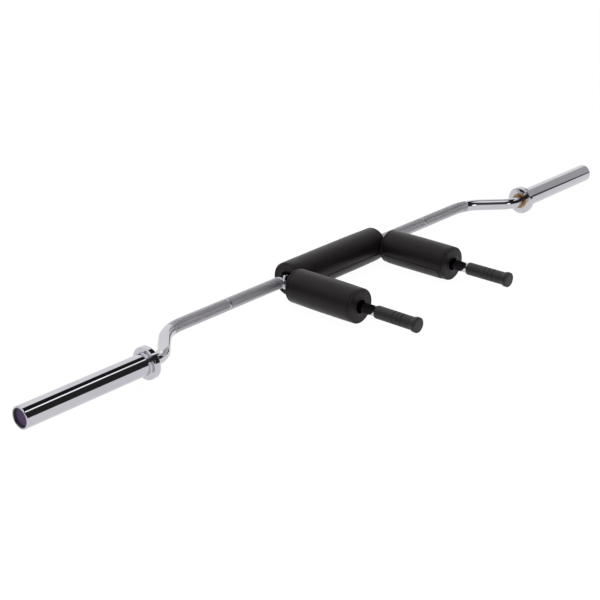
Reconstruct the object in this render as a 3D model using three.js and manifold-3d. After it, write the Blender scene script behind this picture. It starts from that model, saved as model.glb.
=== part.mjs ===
// A safety squat bar: a bent steel bar with a turning plate sleeve at each end, two welded arms
// with rubber grips, and three covered roller pads that lie on the neck and the shoulders.
//
// Millimetres, +Z up. X runs along the bar and the arms point to -Y. The origin is on the flat
// under the neck pad, straight below the middle of the bar, which lies on its pads as on a floor.

import * as THREE from "three";
import { mergeVertices } from "three/addons/utils/BufferGeometryUtils.js";
import Module from "manifold-3d";

const wasm = await Module();
wasm.setup();

// Clearances
const seatGap = 0.3; // between pieces that are pressed, sewn, welded or slid on
const runningGap = 0.2; // round a journal, at the flats of its bushing
const padGap = 0.5; // between two pads that touch
const cutOverrun = 2; // how far a cutting solid runs past what it cuts
const vertexTolerance = 0.001;

// Bar
const overallLength = 2100; // from sleeve tip to sleeve tip
const barDiameter = 30;
const sleeveOffset = 95; // the sleeves' axis stands this far in front of the bar's
const bendAngle = THREE.MathUtils.degToRad(45);
const innerBendRadius = 115; // of the centre line, at the bend nearer the pads
const outerBendRadius = 60; // at the bend nearer the sleeve
const runOut = 11.5; // straight between the outer bend and the journal's shoulder
const journalDiameter = 28;
const journalChamfer = 1;
const ringMarkSpacing = 752; // between the two plain rings in the knurling
const ringMarkWidth = 5;
const ringMarkDepth = 0.4;

// Sleeve
const sleeveLength = 343.5; // from the collar's inner face to the tip
const sleeveDiameter = 50;
const sleeveBore = 34;
const tipBore = 43; // the wider bore that takes the end cap
const tipRecess = 5.5; // the cap's face lies this deep in the tip
const tipRound = 1.5;
const collarDiameter = 75;
const collarWidth = 17;
const collarChamfer = 2.5;
const collarFillet = 2.5; // where the collar's plate face meets the sleeve

// Bearings, and what holds the sleeve on
const bushingLength = 30;
const flangeDiameter = 42;
const flangeThickness = 2.5;
const washerDiameter = 38;
const washerThickness = 2;
const snapRingDiameter = 33;
const snapRingThickness = 2;
const snapRingMouth = 9; // its opening
const snapGrooveDepth = 1.4;
const journalLip = 3; // the journal's length past the snap ring's groove

// End cap and its plain label disc
const capThickness = 5;
const capRound = 1;
const capAir = 3; // between the cap and the journal's end
const labelDiameter = 38;
const labelThickness = 0.8;

// Arms
const armSpacing = 362; // between the two arms' axes
const armDiameter = 26;
const armWall = 2.5;
const weldLeg = 5;
const weldRipple = 0.35;
const stubLength = 51; // bare arm between the shoulder pad and the grip

// Grips
const gripLength = 119;
const gripDiameter = 31.6;
const gripRound = 2;
const gripEndWall = 4;
const gripGroovePitch = 12;
const gripGrooveWidth = 3.2;
const gripGrooveDepth = 1.1;
const gripPlainLength = 25; // smooth stretch between the last groove and the flare
const flareDiameter = 37;
const flareLength = 15.5;
const flareRim = 7; // the flare's straight rim
const flareDome = 0.8;

// Pads
const padDiameter = 87;
const padCrown = 0.8; // how much a pad's radius falls towards its ends
const shoulderPadLength = 199;
const coverThickness = 1.6;
const padEdgeRadius = 4; // between a pad's side and its end
const padSeamWidth = 2.4;
const padSeamDepth = 0.7;
const neckPadHole = 42; // in each end disc
const shoulderPadHole = 33;
const padDish = 2; // how far an end disc is drawn in at its hole
const padBulge = 10; // how far a shoulder pad's outer disc stands out at its hole
const foamHollow = 8; // depth of the foam's hollow behind a hole
const flapWidth = 34; // of the closure flap along each pad
const flapThickness = 1.5;
const flapInset = 13; // from each end of the pad
const flapTilt = THREE.MathUtils.degToRad(-36); // from level, downwards
const restFlat = 0.5; // depth of the flat that a pad presses on the floor

// Counts
const barSides = 24;
const sleeveSides = 28;
const padSides = 32;
const armSides = 24;
const bendSteps = 7;
const roundSteps = 2;
const gripGrooves = 3;
const crownShares = [1, 0.5]; // places along a pad where its crown is followed
const flapShares = [-1, -0.5, 0, 0.5, 1];
const discShare = 0.7; // how much of its dish or bulge an end disc has halfway to its hole
const weldSteps = 36;
const weldSides = 6;
const weldRipples = 12;
const beadShare = 0.75; // the weld bead's radius, in weld legs

// Sizes and places that follow
const barRadius = barDiameter / 2;
const journalRadius = journalDiameter / 2;
const grooveRadius = journalRadius - snapGrooveDepth;
const sleeveRadius = sleeveDiameter / 2;
const tipBoreRadius = tipBore / 2;
const bushingRadius = sleeveBore / 2 - seatGap;
const collarRadius = collarDiameter / 2;
const armRadius = armDiameter / 2;
const gripRadius = gripDiameter / 2;
const padRadius = padDiameter / 2;
const padEndRadius = padRadius - padCrown;
const seamRadius = padEndRadius - padSeamDepth;
const discRadius = padEndRadius - padEdgeRadius;
const axisHeight = padRadius - restFlat;
const collarFace = overallLength / 2 - sleeveLength;
const shoulderX = collarFace - flangeThickness - 2 * seatGap;
const neckPadLength = armSpacing - armDiameter - 2 * seatGap;
const shoulderPadStart = padRadius + padGap;
const gripStart = shoulderPadStart + shoulderPadLength + stubLength;
const armEnd = gripStart + gripLength - gripEndWall - seatGap;

// Places along a sleeve, from the collar's inner face towards the tip
const capFace = sleeveLength - tipRecess;
const capBack = capFace - capThickness;
const journalEnd = capBack - capAir;
const grooveEnd = journalEnd - journalLip;
const grooveStart = grooveEnd - snapRingThickness - 2 * seatGap;
const washerFace = grooveStart - washerThickness;
const tipBoreFloor = washerFace - seatGap;

// Finishes
const chrome = new THREE.MeshStandardMaterial({ color: 0xc9cacd, metalness: 1, roughness: 0.12 });
const knurled = new THREE.MeshStandardMaterial({ color: 0x9b9b9f, metalness: 1, roughness: 0.4 });
const bronze = new THREE.MeshStandardMaterial({ color: 0xb58445, metalness: 1, roughness: 0.3 });
const spring = new THREE.MeshStandardMaterial({ color: 0x4b4c50, metalness: 1, roughness: 0.4 });
const plastic = new THREE.MeshStandardMaterial({ color: 0x1c1a1e, metalness: 0, roughness: 0.5 });
const purple = new THREE.MeshStandardMaterial({ color: 0x46305c, metalness: 0, roughness: 0.35 });
const vinyl = new THREE.MeshStandardMaterial({ color: 0x1d1b1d, metalness: 0, roughness: 0.55 });
const foam = new THREE.MeshStandardMaterial({ color: 0x101010, metalness: 0, roughness: 0.95 });
const rubber = new THREE.MeshStandardMaterial({ color: 0x191819, metalness: 0, roughness: 0.75 });

// Turns a closed geometry into a solid that can be joined and cut.
function solidOf(geometry) {
  const bare = geometry.clone();
  bare.deleteAttribute("normal");
  bare.deleteAttribute("uv");
  const merged = mergeVertices(bare, vertexTolerance);
  const vertProperties = merged.attributes.position.array;
  const triVerts = new Uint32Array(merged.index.array);
  return new wasm.Manifold(new wasm.Mesh({ numProp: 3, vertProperties, triVerts }));
}

// Turns a solid back into a geometry.
function geometryOf(solid) {
  const mesh = solid.getMesh();
  const geometry = new THREE.BufferGeometry();
  geometry.setAttribute("position", new THREE.BufferAttribute(mesh.vertProperties, 3));
  geometry.setIndex(new THREE.BufferAttribute(mesh.triVerts, 1));
  geometry.computeVertexNormals();
  return geometry;
}

// Turns a profile of [distance along, radius] pairs round the X axis. A profile that doesn't
// start and end on the axis closes on itself.
function turned(profile, sides) {
  const points = profile.map(([along, radius]) => new THREE.Vector2(radius, along));
  if (points[0].x > 0) points.push(points[0].clone());
  if (THREE.ShapeUtils.area(points) < 0) points.reverse();
  return new THREE.LatheGeometry(points, sides).rotateZ(-Math.PI / 2);
}

// Turns a profile round the axis that runs forward from the bar to the hands.
function turnedForward(profile, sides) {
  return turned(profile, sides).rotateZ(-Math.PI / 2);
}

// A straight ring or tube between two places along its axis.
function ringProfile(start, end, innerRadius, outerRadius) {
  return [
    [start, innerRadius],
    [start, outerRadius],
    [end, outerRadius],
    [end, innerRadius],
  ];
}

// A round corner of a profile: points on a circle about a centre, from one angle to another.
function corner(along, radius, size, from, to) {
  return Array.from({ length: roundSteps + 1 }, (_, step) => {
    const angle = from + ((to - from) * step) / roundSteps;
    return [along + size * Math.cos(angle), radius + size * Math.sin(angle)];
  });
}

// The radius of a many-sided bore whose flats clear a round by a gap.
function boreAround(radius, gap, sides) {
  return (radius + gap) / Math.cos(Math.PI / sides);
}

// An outline drawn as [forward, up] and drawn out along the X axis, half to each side.
function drawnAlongBar(shape, length) {
  const forward = new THREE.Vector3(0, -1, 0);
  const up = new THREE.Vector3(0, 0, 1);
  const back = new THREE.Vector3(-1, 0, 0);
  const geometry = new THREE.ExtrudeGeometry(shape, {
    depth: length,
    bevelEnabled: false,
    curveSegments: sleeveSides / 2,
  });
  geometry.translate(0, 0, -length / 2);
  return geometry.applyMatrix4(new THREE.Matrix4().makeBasis(forward, up, back));
}

// Cuts a pad's cover flat where it rests. The pad's axis lies at height zero here.
function flattened(solid) {
  const size = 2 * padRadius + shoulderPadLength + neckPadLength;
  const below = new THREE.BoxGeometry(size, size, padRadius);
  return solid.subtract(solidOf(below.translate(0, 0, -axisHeight - padRadius / 2)));
}

function addPiece(group, name, geometry, finish) {
  const mesh = new THREE.Mesh(geometry, finish.clone());
  mesh.name = name;
  group.add(mesh);
}

// The bar's centre line. It is read only at its stations, which are the ends of the straights
// and even steps round each bend, so that a straight costs no facets.
class CentreLine extends THREE.Curve {
  constructor(stations) {
    super();
    this.stations = stations;
    this.steps = stations.length - 1;
  }

  getPointAt(share) {
    return this.stations[Math.round(share * this.steps)].point.clone();
  }

  getTangentAt(share) {
    return this.stations[Math.round(share * this.steps)].heading.clone();
  }
}

// The stations on one side of the bar: round the inner bend, down the slope, round the outer
// bend and on to the shoulder where the journal starts.
function sideStations() {
  const rise = (radius) => radius * (1 - Math.cos(bendAngle));
  const run = (radius) => radius * Math.sin(bendAngle);
  const slopeDrop = sleeveOffset - rise(innerBendRadius) - rise(outerBendRadius);
  const slopeRun = slopeDrop / Math.tan(bendAngle);
  const outerEnd = shoulderX - runOut;
  const innerStart = outerEnd - run(outerBendRadius) - slopeRun - run(innerBendRadius);
  const station = (x, y, angle) => ({
    point: new THREE.Vector3(x, y, 0),
    heading: new THREE.Vector3(Math.cos(angle), -Math.sin(angle), 0),
  });
  const angles = Array.from({ length: bendSteps + 1 }, (_, step) => (bendAngle * step) / bendSteps);
  const inner = angles.map((angle) =>
    station(
      innerStart + innerBendRadius * Math.sin(angle),
      -innerBendRadius * (1 - Math.cos(angle)),
      angle,
    ),
  );
  const outer = angles.reverse().map((angle) =>
    station(
      outerEnd - outerBendRadius * Math.sin(angle),
      outerBendRadius * (1 - Math.cos(angle)) - sleeveOffset,
      angle,
    ),
  );
  return [...inner, ...outer, station(shoulderX, -sleeveOffset, 0)];
}

// The bent bar without its journals.
function bentRod() {
  const right = sideStations();
  const left = right.map(({ point, heading }) => ({
    point: new THREE.Vector3(-point.x, point.y, 0),
    heading: new THREE.Vector3(heading.x, -heading.y, 0),
  }));
  const extrudePath = new CentreLine([...left.reverse(), ...right]);
  const section = new THREE.Shape().absarc(0, 0, barRadius, 0, 2 * Math.PI);
  const curveSegments = barSides / 2;
  return solidOf(
    new THREE.ExtrudeGeometry(section, { steps: extrudePath.steps, curveSegments, extrudePath }),
  );
}

// A journal on the sleeve's axis, grooved near its end for the snap ring. It starts inside the
// bar, and its distances run from the collar's inner face.
function journal() {
  const root = shoulderX - collarFace - runOut / 2;
  return solidOf(
    turned(
      [
        [root, 0],
        [root, journalRadius],
        [grooveStart, journalRadius],
        [grooveStart, grooveRadius],
        [grooveEnd, grooveRadius],
        [grooveEnd, journalRadius],
        [journalEnd - journalChamfer, journalRadius],
        [journalEnd, journalRadius - journalChamfer],
        [journalEnd, 0],
      ],
      barSides,
    ),
  );
}

function barGeometry() {
  const shoulder = shoulderX - collarFace;
  const reach = barRadius + cutOverrun;
  const chamfer = solidOf(
    turned(
      [
        [shoulder - journalChamfer - cutOverrun, reach],
        [shoulder + cutOverrun, reach],
        [shoulder + cutOverrun, barRadius - journalChamfer - cutOverrun],
      ],
      barSides,
    ),
  );
  const markRadius = barRadius - ringMarkDepth;
  const mark = solidOf(
    turned(ringProfile(-ringMarkWidth / 2, ringMarkWidth / 2, markRadius, reach), barSides),
  );
  const placed = (solid, side) =>
    solid.rotate([0, 0, side > 0 ? 0 : 180]).translate([side * collarFace, -sleeveOffset, 0]);
  let bar = bentRod();
  for (const side of [1, -1]) {
    bar = bar.subtract(placed(chamfer, side)).add(placed(journal(), side));
    bar = bar.subtract(mark.translate([(side * ringMarkSpacing) / 2, 0, 0]));
  }
  return geometryOf(bar);
}

// A pad's end disc, from the hole for the bar or arm to halfway out. At the hole it stands out
// by its rise, or is drawn in where that is less than nothing.
function endDisc(half, holeRadius, rise) {
  return [
    [half + rise, holeRadius],
    [half + rise * discShare, (holeRadius + discRadius) / 2],
  ];
}

// Joins the profiles of a pad's far end and near end, each drawn at the far end.
function farAndNear(far, near) {
  return [...far, ...near.map(([along, radius]) => [-along, radius]).reverse()];
}

// The cover of a roller pad, sewn from a side panel and two end discs. Its side swells towards
// the middle and is drawn in at the end seams. Its near disc is drawn in at the hole.
function padCover(length, hole, farRise) {
  const half = length / 2;
  const crownHalf = half - padEdgeRadius - padSeamWidth;
  const outer = (rise) => [
    ...endDisc(half, hole / 2, rise),
    ...corner(half - padEdgeRadius, discRadius, padEdgeRadius, 0, Math.PI / 2),
    [half - padEdgeRadius - padSeamWidth / 2, seamRadius],
    ...crownShares.map((share) => [crownHalf * share, padRadius - padCrown * share ** 2]),
  ];
  const inner = (rise) => [
    ...endDisc(half - coverThickness, hole / 2, rise),
    [half - padDish - coverThickness, discRadius],
    [half - padEdgeRadius - coverThickness, seamRadius - coverThickness],
  ];
  const outside = farAndNear([...outer(farRise), [0, padRadius]], outer(-padDish));
  const inside = farAndNear(inner(farRise), inner(-padDish));
  return flattened(solidOf(turned([...outside, ...inside.reverse()], padSides)));
}

// The foam roller in a cover. It backs the cover all round, grips the bar or arm, and is
// hollowed behind the holes in the end discs.
function padFoam(length, coreRadius, hole, farRise) {
  const half = length / 2;
  const boreRadius = boreAround(coreRadius, seatGap, padSides);
  const face = half - coverThickness - seatGap;
  const end = (rise) => [
    [face + rise - foamHollow, boreRadius],
    [face + rise - foamHollow, hole / 2],
    ...endDisc(face, hole / 2, rise),
    [face - padDish, discRadius - seatGap],
    [face - padEdgeRadius, seamRadius - coverThickness - seatGap],
  ];
  return turned(farAndNear(end(farRise), end(-padDish)), padSides);
}

// The closure flap along a pad: a strip that follows the cover's crown, cut out by a wedge.
function padFlap(length) {
  const crownHalf = length / 2 - padEdgeRadius - padSeamWidth;
  const half = length / 2 - flapInset;
  const strip = (lift) =>
    flapShares.map((share) => {
      const along = half * share;
      return [along, padRadius - padCrown * (along / crownHalf) ** 2 + lift];
    });
  const shell = turned([...strip(seatGap), ...strip(seatGap + flapThickness).reverse()], padSides);
  const halfWedge = flapWidth / 2 / padRadius;
  const reach = (padRadius + flapThickness + cutOverrun) / Math.cos(halfWedge);
  const wedge = new THREE.Shape();
  wedge.moveTo(0, 0);
  wedge.lineTo(reach * Math.cos(flapTilt - halfWedge), reach * Math.sin(flapTilt - halfWedge));
  wedge.lineTo(reach * Math.cos(flapTilt), reach * Math.sin(flapTilt));
  wedge.lineTo(reach * Math.cos(flapTilt + halfWedge), reach * Math.sin(flapTilt + halfWedge));
  return geometryOf(solidOf(shell).intersect(solidOf(drawnAlongBar(wedge, length))));
}

// The line where an arm's outside meets the bar's outside, set off from both by some distance.
class SaddleCurve extends THREE.Curve {
  constructor(offset) {
    super();
    this.offset = offset;
  }

  getPoint(share) {
    const angle = 2 * Math.PI * share;
    const across = (armRadius + this.offset) * Math.cos(angle);
    const up = (armRadius + this.offset) * Math.sin(angle);
    const forward = Math.sqrt((barRadius + this.offset) ** 2 - up ** 2);
    return new THREE.Vector3(across, -forward, up);
  }
}

// The rippled weld bead round an arm's root, cut back to the bar and the arm.
function weldBead() {
  const beadRadius = weldLeg * beadShare;
  const path = new SaddleCurve(weldLeg - beadRadius);
  const bead = new THREE.TubeGeometry(path, weldSteps, beadRadius, weldSides, true);
  const { position, normal } = bead.attributes;
  const ring = weldSides + 1;
  for (let index = 0; index < position.count; index += 1) {
    const step = Math.floor(index / ring);
    const lift = weldRipple * Math.cos((2 * Math.PI * weldRipples * step) / weldSteps);
    const point = new THREE.Vector3().fromBufferAttribute(position, index);
    point.addScaledVector(new THREE.Vector3().fromBufferAttribute(normal, index), lift);
    position.setXYZ(index, point.x, point.y, point.z);
  }
  const armCut = boreAround(armRadius, seatGap, armSides);
  const arm = turnedForward(
    [
      [0, 0],
      [0, armCut],
      [shoulderPadStart, armCut],
      [shoulderPadStart, 0],
    ],
    armSides,
  );
  return geometryOf(solidOf(bead).subtract(barCutter()).subtract(solidOf(arm)));
}

// A straight piece of bar with the seat gap round it, for coping what is welded to the bar.
function barCutter() {
  const radius = boreAround(barRadius, seatGap, sleeveSides);
  const half = armRadius + weldLeg + cutOverrun;
  return solidOf(
    turned(
      [
        [-half, 0],
        [-half, radius],
        [half, radius],
        [half, 0],
      ],
      sleeveSides,
    ),
  );
}

// The arm's tube, coped to the bar at its root and open at its end inside the grip.
function armTube() {
  const tube = turnedForward(ringProfile(0, armEnd, armRadius - armWall, armRadius), armSides);
  return geometryOf(solidOf(tube).subtract(barCutter()));
}

// The rubber grip: a round lip, a smooth stretch, a few ring grooves, and a flared closed end.
function gripProfile() {
  const bore = boreAround(armRadius, seatGap, armSides);
  const flareRadius = flareDiameter / 2;
  const floorRadius = gripRadius - gripGrooveDepth;
  const lastGrooveEnd = gripLength - flareLength - gripPlainLength;
  const grooves = Array.from({ length: gripGrooves }, (_, index) => {
    const end = lastGrooveEnd - (gripGrooves - 1 - index) * gripGroovePitch;
    return [
      [end - gripGrooveWidth, gripRadius],
      [end - (3 * gripGrooveWidth) / 4, floorRadius],
      [end - gripGrooveWidth / 4, floorRadius],
      [end, gripRadius],
    ];
  });
  return [
    [gripLength - gripEndWall, 0],
    [gripLength - gripEndWall, bore],
    [0, bore],
    ...corner(gripRound, gripRadius - gripRound, gripRound, Math.PI, Math.PI / 2),
    ...grooves.flat(),
    [gripLength - flareLength, gripRadius],
    [gripLength - flareRim - gripRound, flareRadius - gripRound / 2],
    [gripLength - flareRim, flareRadius],
    ...corner(gripLength - gripRound, flareRadius - gripRound, gripRound, Math.PI / 2, 0),
    [gripLength + flareDome, 0],
  ];
}

// The open spring ring in a journal's groove.
function snapRingShape() {
  const inner = grooveRadius + seatGap;
  const outer = snapRingDiameter / 2;
  const innerTurn = Math.asin(snapRingMouth / 2 / inner);
  const outerTurn = Math.asin(snapRingMouth / 2 / outer);
  const shape = new THREE.Shape();
  shape.absarc(0, 0, outer, outerTurn, 2 * Math.PI - outerTurn, false);
  shape.absarc(0, 0, inner, 2 * Math.PI - innerTurn, innerTurn, true);
  return shape;
}

function collarProfile() {
  const bore = sleeveRadius + seatGap;
  return [
    [0, bore],
    [0, collarRadius - collarChamfer],
    [collarChamfer, collarRadius],
    [collarWidth - collarChamfer, collarRadius],
    [collarWidth, collarRadius - collarChamfer],
    ...corner(
      collarWidth + collarFillet,
      bore + collarFillet,
      collarFillet,
      -Math.PI,
      -Math.PI / 2,
    ),
  ];
}

function sleeveProfile() {
  return [
    [0, sleeveBore / 2],
    [0, sleeveRadius],
    ...corner(sleeveLength - tipRound, sleeveRadius - tipRound, tipRound, Math.PI / 2, 0),
    [sleeveLength, tipBoreRadius],
    [tipBoreFloor, tipBoreRadius],
    [tipBoreFloor, sleeveBore / 2],
  ];
}

function innerBushingProfile() {
  const bore = boreAround(journalRadius, runningGap, sleeveSides);
  return [
    [-flangeThickness - seatGap, bore],
    [-flangeThickness - seatGap, flangeDiameter / 2],
    [-seatGap, flangeDiameter / 2],
    [-seatGap, bushingRadius],
    [bushingLength, bushingRadius],
    [bushingLength, bore],
  ];
}

function capProfile() {
  const radius = tipBoreRadius - seatGap;
  return [
    [capBack, 0],
    [capBack, radius],
    ...corner(capFace - capRound, radius - capRound, capRound, Math.PI / 2, 0),
    [capFace, 0],
  ];
}

function labelProfile() {
  const under = capFace + seatGap;
  return [
    [under, 0],
    [under, labelDiameter / 2],
    [under + labelThickness, labelDiameter / 2],
    [under + labelThickness, 0],
  ];
}

// One end of the bar: the sleeve and what turns with it, and what holds it on the journal. The
// group's X axis is the sleeve's, from the collar's inner face towards the tip.
function sleeveGroup(side) {
  const group = new THREE.Group();
  const outerBushingStart = tipBoreFloor - bushingLength;
  const bore = boreAround(journalRadius, runningGap, sleeveSides);
  const washerBore = boreAround(journalRadius, seatGap, sleeveSides);
  const outerBushing = ringProfile(outerBushingStart, tipBoreFloor, bore, bushingRadius);
  const washer = ringProfile(washerFace, grooveStart, washerBore, washerDiameter / 2);
  const snapRing = drawnAlongBar(snapRingShape(), snapRingThickness);
  snapRing.translate((grooveStart + grooveEnd) / 2, 0, 0);
  addPiece(group, `${side}_sleeve_tube`, turned(sleeveProfile(), sleeveSides), chrome);
  addPiece(group, `${side}_collar`, turned(collarProfile(), sleeveSides), chrome);
  addPiece(group, `${side}_inner_bushing`, turned(innerBushingProfile(), sleeveSides), bronze);
  addPiece(group, `${side}_outer_bushing`, turned(outerBushing, sleeveSides), bronze);
  addPiece(group, `${side}_end_cap`, turned(capProfile(), sleeveSides), plastic);
  addPiece(group, `${side}_cap_label`, turned(labelProfile(), sleeveSides), purple);
  addPiece(group, `${side}_thrust_washer`, turned(washer, sleeveSides), spring);
  addPiece(group, `${side}_snap_ring`, snapRing, spring);
  return group;
}

// One arm with its weld, shoulder pad and grip. The group's origin is on the bar's axis.
function armGroup(side) {
  const group = new THREE.Group();
  const padMiddle = shoulderPadStart + shoulderPadLength / 2;
  const onArm = (geometry, along) => geometry.rotateZ(-Math.PI / 2).translate(0, -along, 0);
  const cover = geometryOf(padCover(shoulderPadLength, shoulderPadHole, padBulge));
  const padFoamCore = padFoam(shoulderPadLength, armRadius, shoulderPadHole, padBulge);
  addPiece(group, `${side}_arm_tube`, armTube(), chrome);
  addPiece(group, `${side}_arm_weld`, weldBead(), chrome);
  addPiece(group, `${side}_shoulder_pad_cover`, onArm(cover, padMiddle), vinyl);
  addPiece(group, `${side}_shoulder_pad_foam`, onArm(padFoamCore, padMiddle), foam);
  addPiece(group, `${side}_shoulder_pad_flap`, onArm(padFlap(shoulderPadLength), padMiddle), vinyl);
  addPiece(group, `${side}_grip`, onArm(turned(gripProfile(), armSides), gripStart), rubber);
  return group;
}

const model = new THREE.Group();
model.position.z = axisHeight;
addPiece(model, "bar_shaft", barGeometry(), knurled);
const neckCover = geometryOf(padCover(neckPadLength, neckPadHole, -padDish));
const neckFoam = padFoam(neckPadLength, barRadius, neckPadHole, -padDish);
addPiece(model, "neck_pad_cover", neckCover, vinyl);
addPiece(model, "neck_pad_foam", neckFoam, foam);
addPiece(model, "neck_pad_flap", padFlap(neckPadLength), vinyl);
for (const [side, mirror] of [["right", 1], ["left", -1]]) {
  const sleeve = sleeveGroup(side);
  sleeve.position.set(mirror * collarFace, -sleeveOffset, 0);
  sleeve.scale.x = mirror;
  const arm = armGroup(side);
  arm.position.x = (mirror * armSpacing) / 2;
  arm.scale.x = mirror;
  model.add(sleeve, arm);
}

export default model;
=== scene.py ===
"""Dresses a safety squat bar and lights it in a plain white studio.

The bar is a bent chrome rod with a turning plate sleeve at each end, two welded arms with rubber
grips, and three covered roller pads. Everything is in metres, +Z up: X runs along the bar and the
arms point to -Y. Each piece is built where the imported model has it.
"""

import logging
import math
from dataclasses import dataclass, field
from enum import Enum
from typing import Mapping, Sequence

import bmesh
import bpy
import numpy as np
from mathutils import Matrix, Vector
from mathutils.bvhtree import BVHTree


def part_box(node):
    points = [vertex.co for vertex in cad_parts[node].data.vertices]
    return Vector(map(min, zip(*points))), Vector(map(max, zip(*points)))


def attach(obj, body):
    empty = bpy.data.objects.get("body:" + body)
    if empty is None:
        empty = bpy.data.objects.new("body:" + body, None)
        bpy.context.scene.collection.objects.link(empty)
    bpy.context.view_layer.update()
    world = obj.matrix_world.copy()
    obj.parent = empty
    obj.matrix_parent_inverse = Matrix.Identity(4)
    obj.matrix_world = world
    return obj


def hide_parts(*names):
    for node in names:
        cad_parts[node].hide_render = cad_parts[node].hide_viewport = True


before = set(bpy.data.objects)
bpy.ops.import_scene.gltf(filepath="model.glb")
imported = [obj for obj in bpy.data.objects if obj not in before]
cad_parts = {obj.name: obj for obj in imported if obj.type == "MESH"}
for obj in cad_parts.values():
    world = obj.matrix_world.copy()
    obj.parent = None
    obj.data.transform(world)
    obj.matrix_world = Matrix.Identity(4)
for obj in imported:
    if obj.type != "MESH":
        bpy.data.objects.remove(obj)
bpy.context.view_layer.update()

WHITE = (1.0, 1.0, 1.0)
UP = Vector((0.0, 0.0, 1.0))
FORWARD = Vector((0.0, -1.0, 0.0))
ALONG_BAR = Vector((1.0, 0.0, 0.0))
WELD_TOLERANCE = 0.00001
PACKED_DOME = 0.010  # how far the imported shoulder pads' outer discs stand out
WEAR = "edge_wear"
TURNED = "turn_line"
KNURLED = "knurled"
KNURL_FLOOR = "knurl_floor"
FACING = "facing"
HEADING = "heading"

Colour = tuple[float, float, float]
log = logging.getLogger("squat_bar")


class Side(Enum):
    """One end of the bar, and the sign of its X."""

    RIGHT = 1
    LEFT = -1

    @property
    def word(self) -> str:
        """The side as a piece's name says it."""
        return self.name.lower()

    @property
    def outward(self) -> Vector:
        """The direction from the middle of the bar to this end."""
        return ALONG_BAR * self.value


class Body(Enum):
    """The rigid bodies that pieces ride on."""

    BAR = "root"
    RIGHT_SLEEVE = "right_sleeve"
    LEFT_SLEEVE = "left_sleeve"


@dataclass(frozen=True)
class Places:
    """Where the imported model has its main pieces."""

    axis_height: float
    sleeve_y: float
    collar_x: float
    tip_x: float
    arm_x: float
    arm_end: float
    neck_half: float
    pad_start: float
    pad_end: float
    grip_start: float
    grip_end: float

    @classmethod
    def from_frame(cls) -> "Places":
        """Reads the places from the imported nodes' boxes.

        Returns:
            The places, in metres.
        """
        sleeve_low, sleeve_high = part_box("right_sleeve_tube")
        arm_low, arm_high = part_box("right_arm_tube")
        neck_low, neck_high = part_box("neck_pad_cover")
        pad_low, pad_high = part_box("right_shoulder_pad_cover")
        grip_low, grip_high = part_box("right_grip")
        return cls(
            axis_height=(sleeve_low.z + sleeve_high.z) / 2,
            sleeve_y=(sleeve_low.y + sleeve_high.y) / 2,
            collar_x=sleeve_low.x,
            tip_x=sleeve_high.x,
            arm_x=(arm_low.x + arm_high.x) / 2,
            arm_end=-arm_low.y,
            neck_half=(neck_high.x - neck_low.x) / 2,
            pad_start=-pad_high.y,
            pad_end=-pad_low.y,
            grip_start=-grip_high.y,
            grip_end=-grip_low.y,
        )


class Wiring:
    """Adds nodes to one node tree and links them."""

    def __init__(self, tree: bpy.types.NodeTree) -> None:
        self.tree = tree

    def add(
        self,
        kind: str,
        inputs: Mapping[str | int, object] | None = None,
        **settings: object,
    ) -> bpy.types.Node:
        """Adds a node.

        Args:
            kind: the node's type.
            inputs: a value or a socket to link for each input, by its name or number.
            settings: the node's own properties.

        Returns:
            The node.
        """
        node = self.tree.nodes.new(kind)
        for key, value in settings.items():
            setattr(node, key, value)
        for key, value in (inputs or {}).items():
            if isinstance(value, bpy.types.NodeSocket):
                self.tree.links.new(value, node.inputs[key])
            else:
                node.inputs[key].default_value = value
        return node

    def result(
        self, kind: str, inputs: Mapping[str | int, object] | None = None, **settings: object
    ) -> bpy.types.NodeSocket:
        """Adds a node, as add does, and gives its first output."""
        return self.add(kind, inputs, **settings).outputs[0]

    def noise(
        self, place: object, scale: object, **inputs: object
    ) -> bpy.types.bpy_prop_collection:
        """Adds a noise texture and gives its outputs, a number and a colour."""
        return self.add("ShaderNodeTexNoise", {"Vector": place, "Scale": scale, **inputs}).outputs

    def math(self, operation: str, *values: object) -> bpy.types.NodeSocket:
        """Adds a maths node and gives its result."""
        inputs = dict(enumerate(values))
        return self.result("ShaderNodeMath", inputs, operation=operation)

    def vector(self, operation: str, *values: object) -> bpy.types.NodeSocket:
        """Adds a vector maths node and gives its result."""
        inputs = dict(enumerate(values))
        return self.result("ShaderNodeVectorMath", inputs, operation=operation)

    def scaled(self, vector: object, scale: object) -> bpy.types.NodeSocket:
        """Gives a vector times a number."""
        inputs = {0: vector, "Scale": scale}
        return self.result("ShaderNodeVectorMath", inputs, operation="SCALE")

    def mixed(self, factor: object, first: object, second: object) -> bpy.types.NodeSocket:
        """Gives a colour between two colours."""
        inputs = {0: factor, 6: rgba(first), 7: rgba(second)}
        return self.add("ShaderNodeMix", inputs, data_type="RGBA").outputs[2]

    def blended(self, factor: object, first: object, second: object) -> bpy.types.NodeSocket:
        """Gives a number between two numbers."""
        return self.result("ShaderNodeMix", {0: factor, 2: first, 3: second})

    def ranged(
        self, value: object, low: float, high: float, to_low: object = 0.0, to_high: object = 1.0
    ) -> bpy.types.NodeSocket:
        """Gives a value's smooth place between two others.

        Args:
            value: what is read.
            low: the value that gives to_low.
            high: the value that gives to_high.
            to_low: the result at low.
            to_high: the result at high.

        Returns:
            The result's socket.
        """
        inputs = {0: value, 1: low, 2: high, 3: to_low, 4: to_high}
        node = self.add("ShaderNodeMapRange", inputs, interpolation_type="SMOOTHSTEP")
        return node.outputs[0]


def rgba(colour: object) -> object:
    """Gives a colour tuple its alpha, and a socket back as it is."""
    return (*colour, 1.0) if isinstance(colour, tuple) else colour


SOCKET_KINDS = {
    "float": "NodeSocketFloat",
    "int": "NodeSocketInt",
    "vector": "NodeSocketVector",
    "object": "NodeSocketObject",
    "material": "NodeSocketMaterial",
    "geometry": "NodeSocketGeometry",
    "colour": "NodeSocketColor",
}


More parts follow.
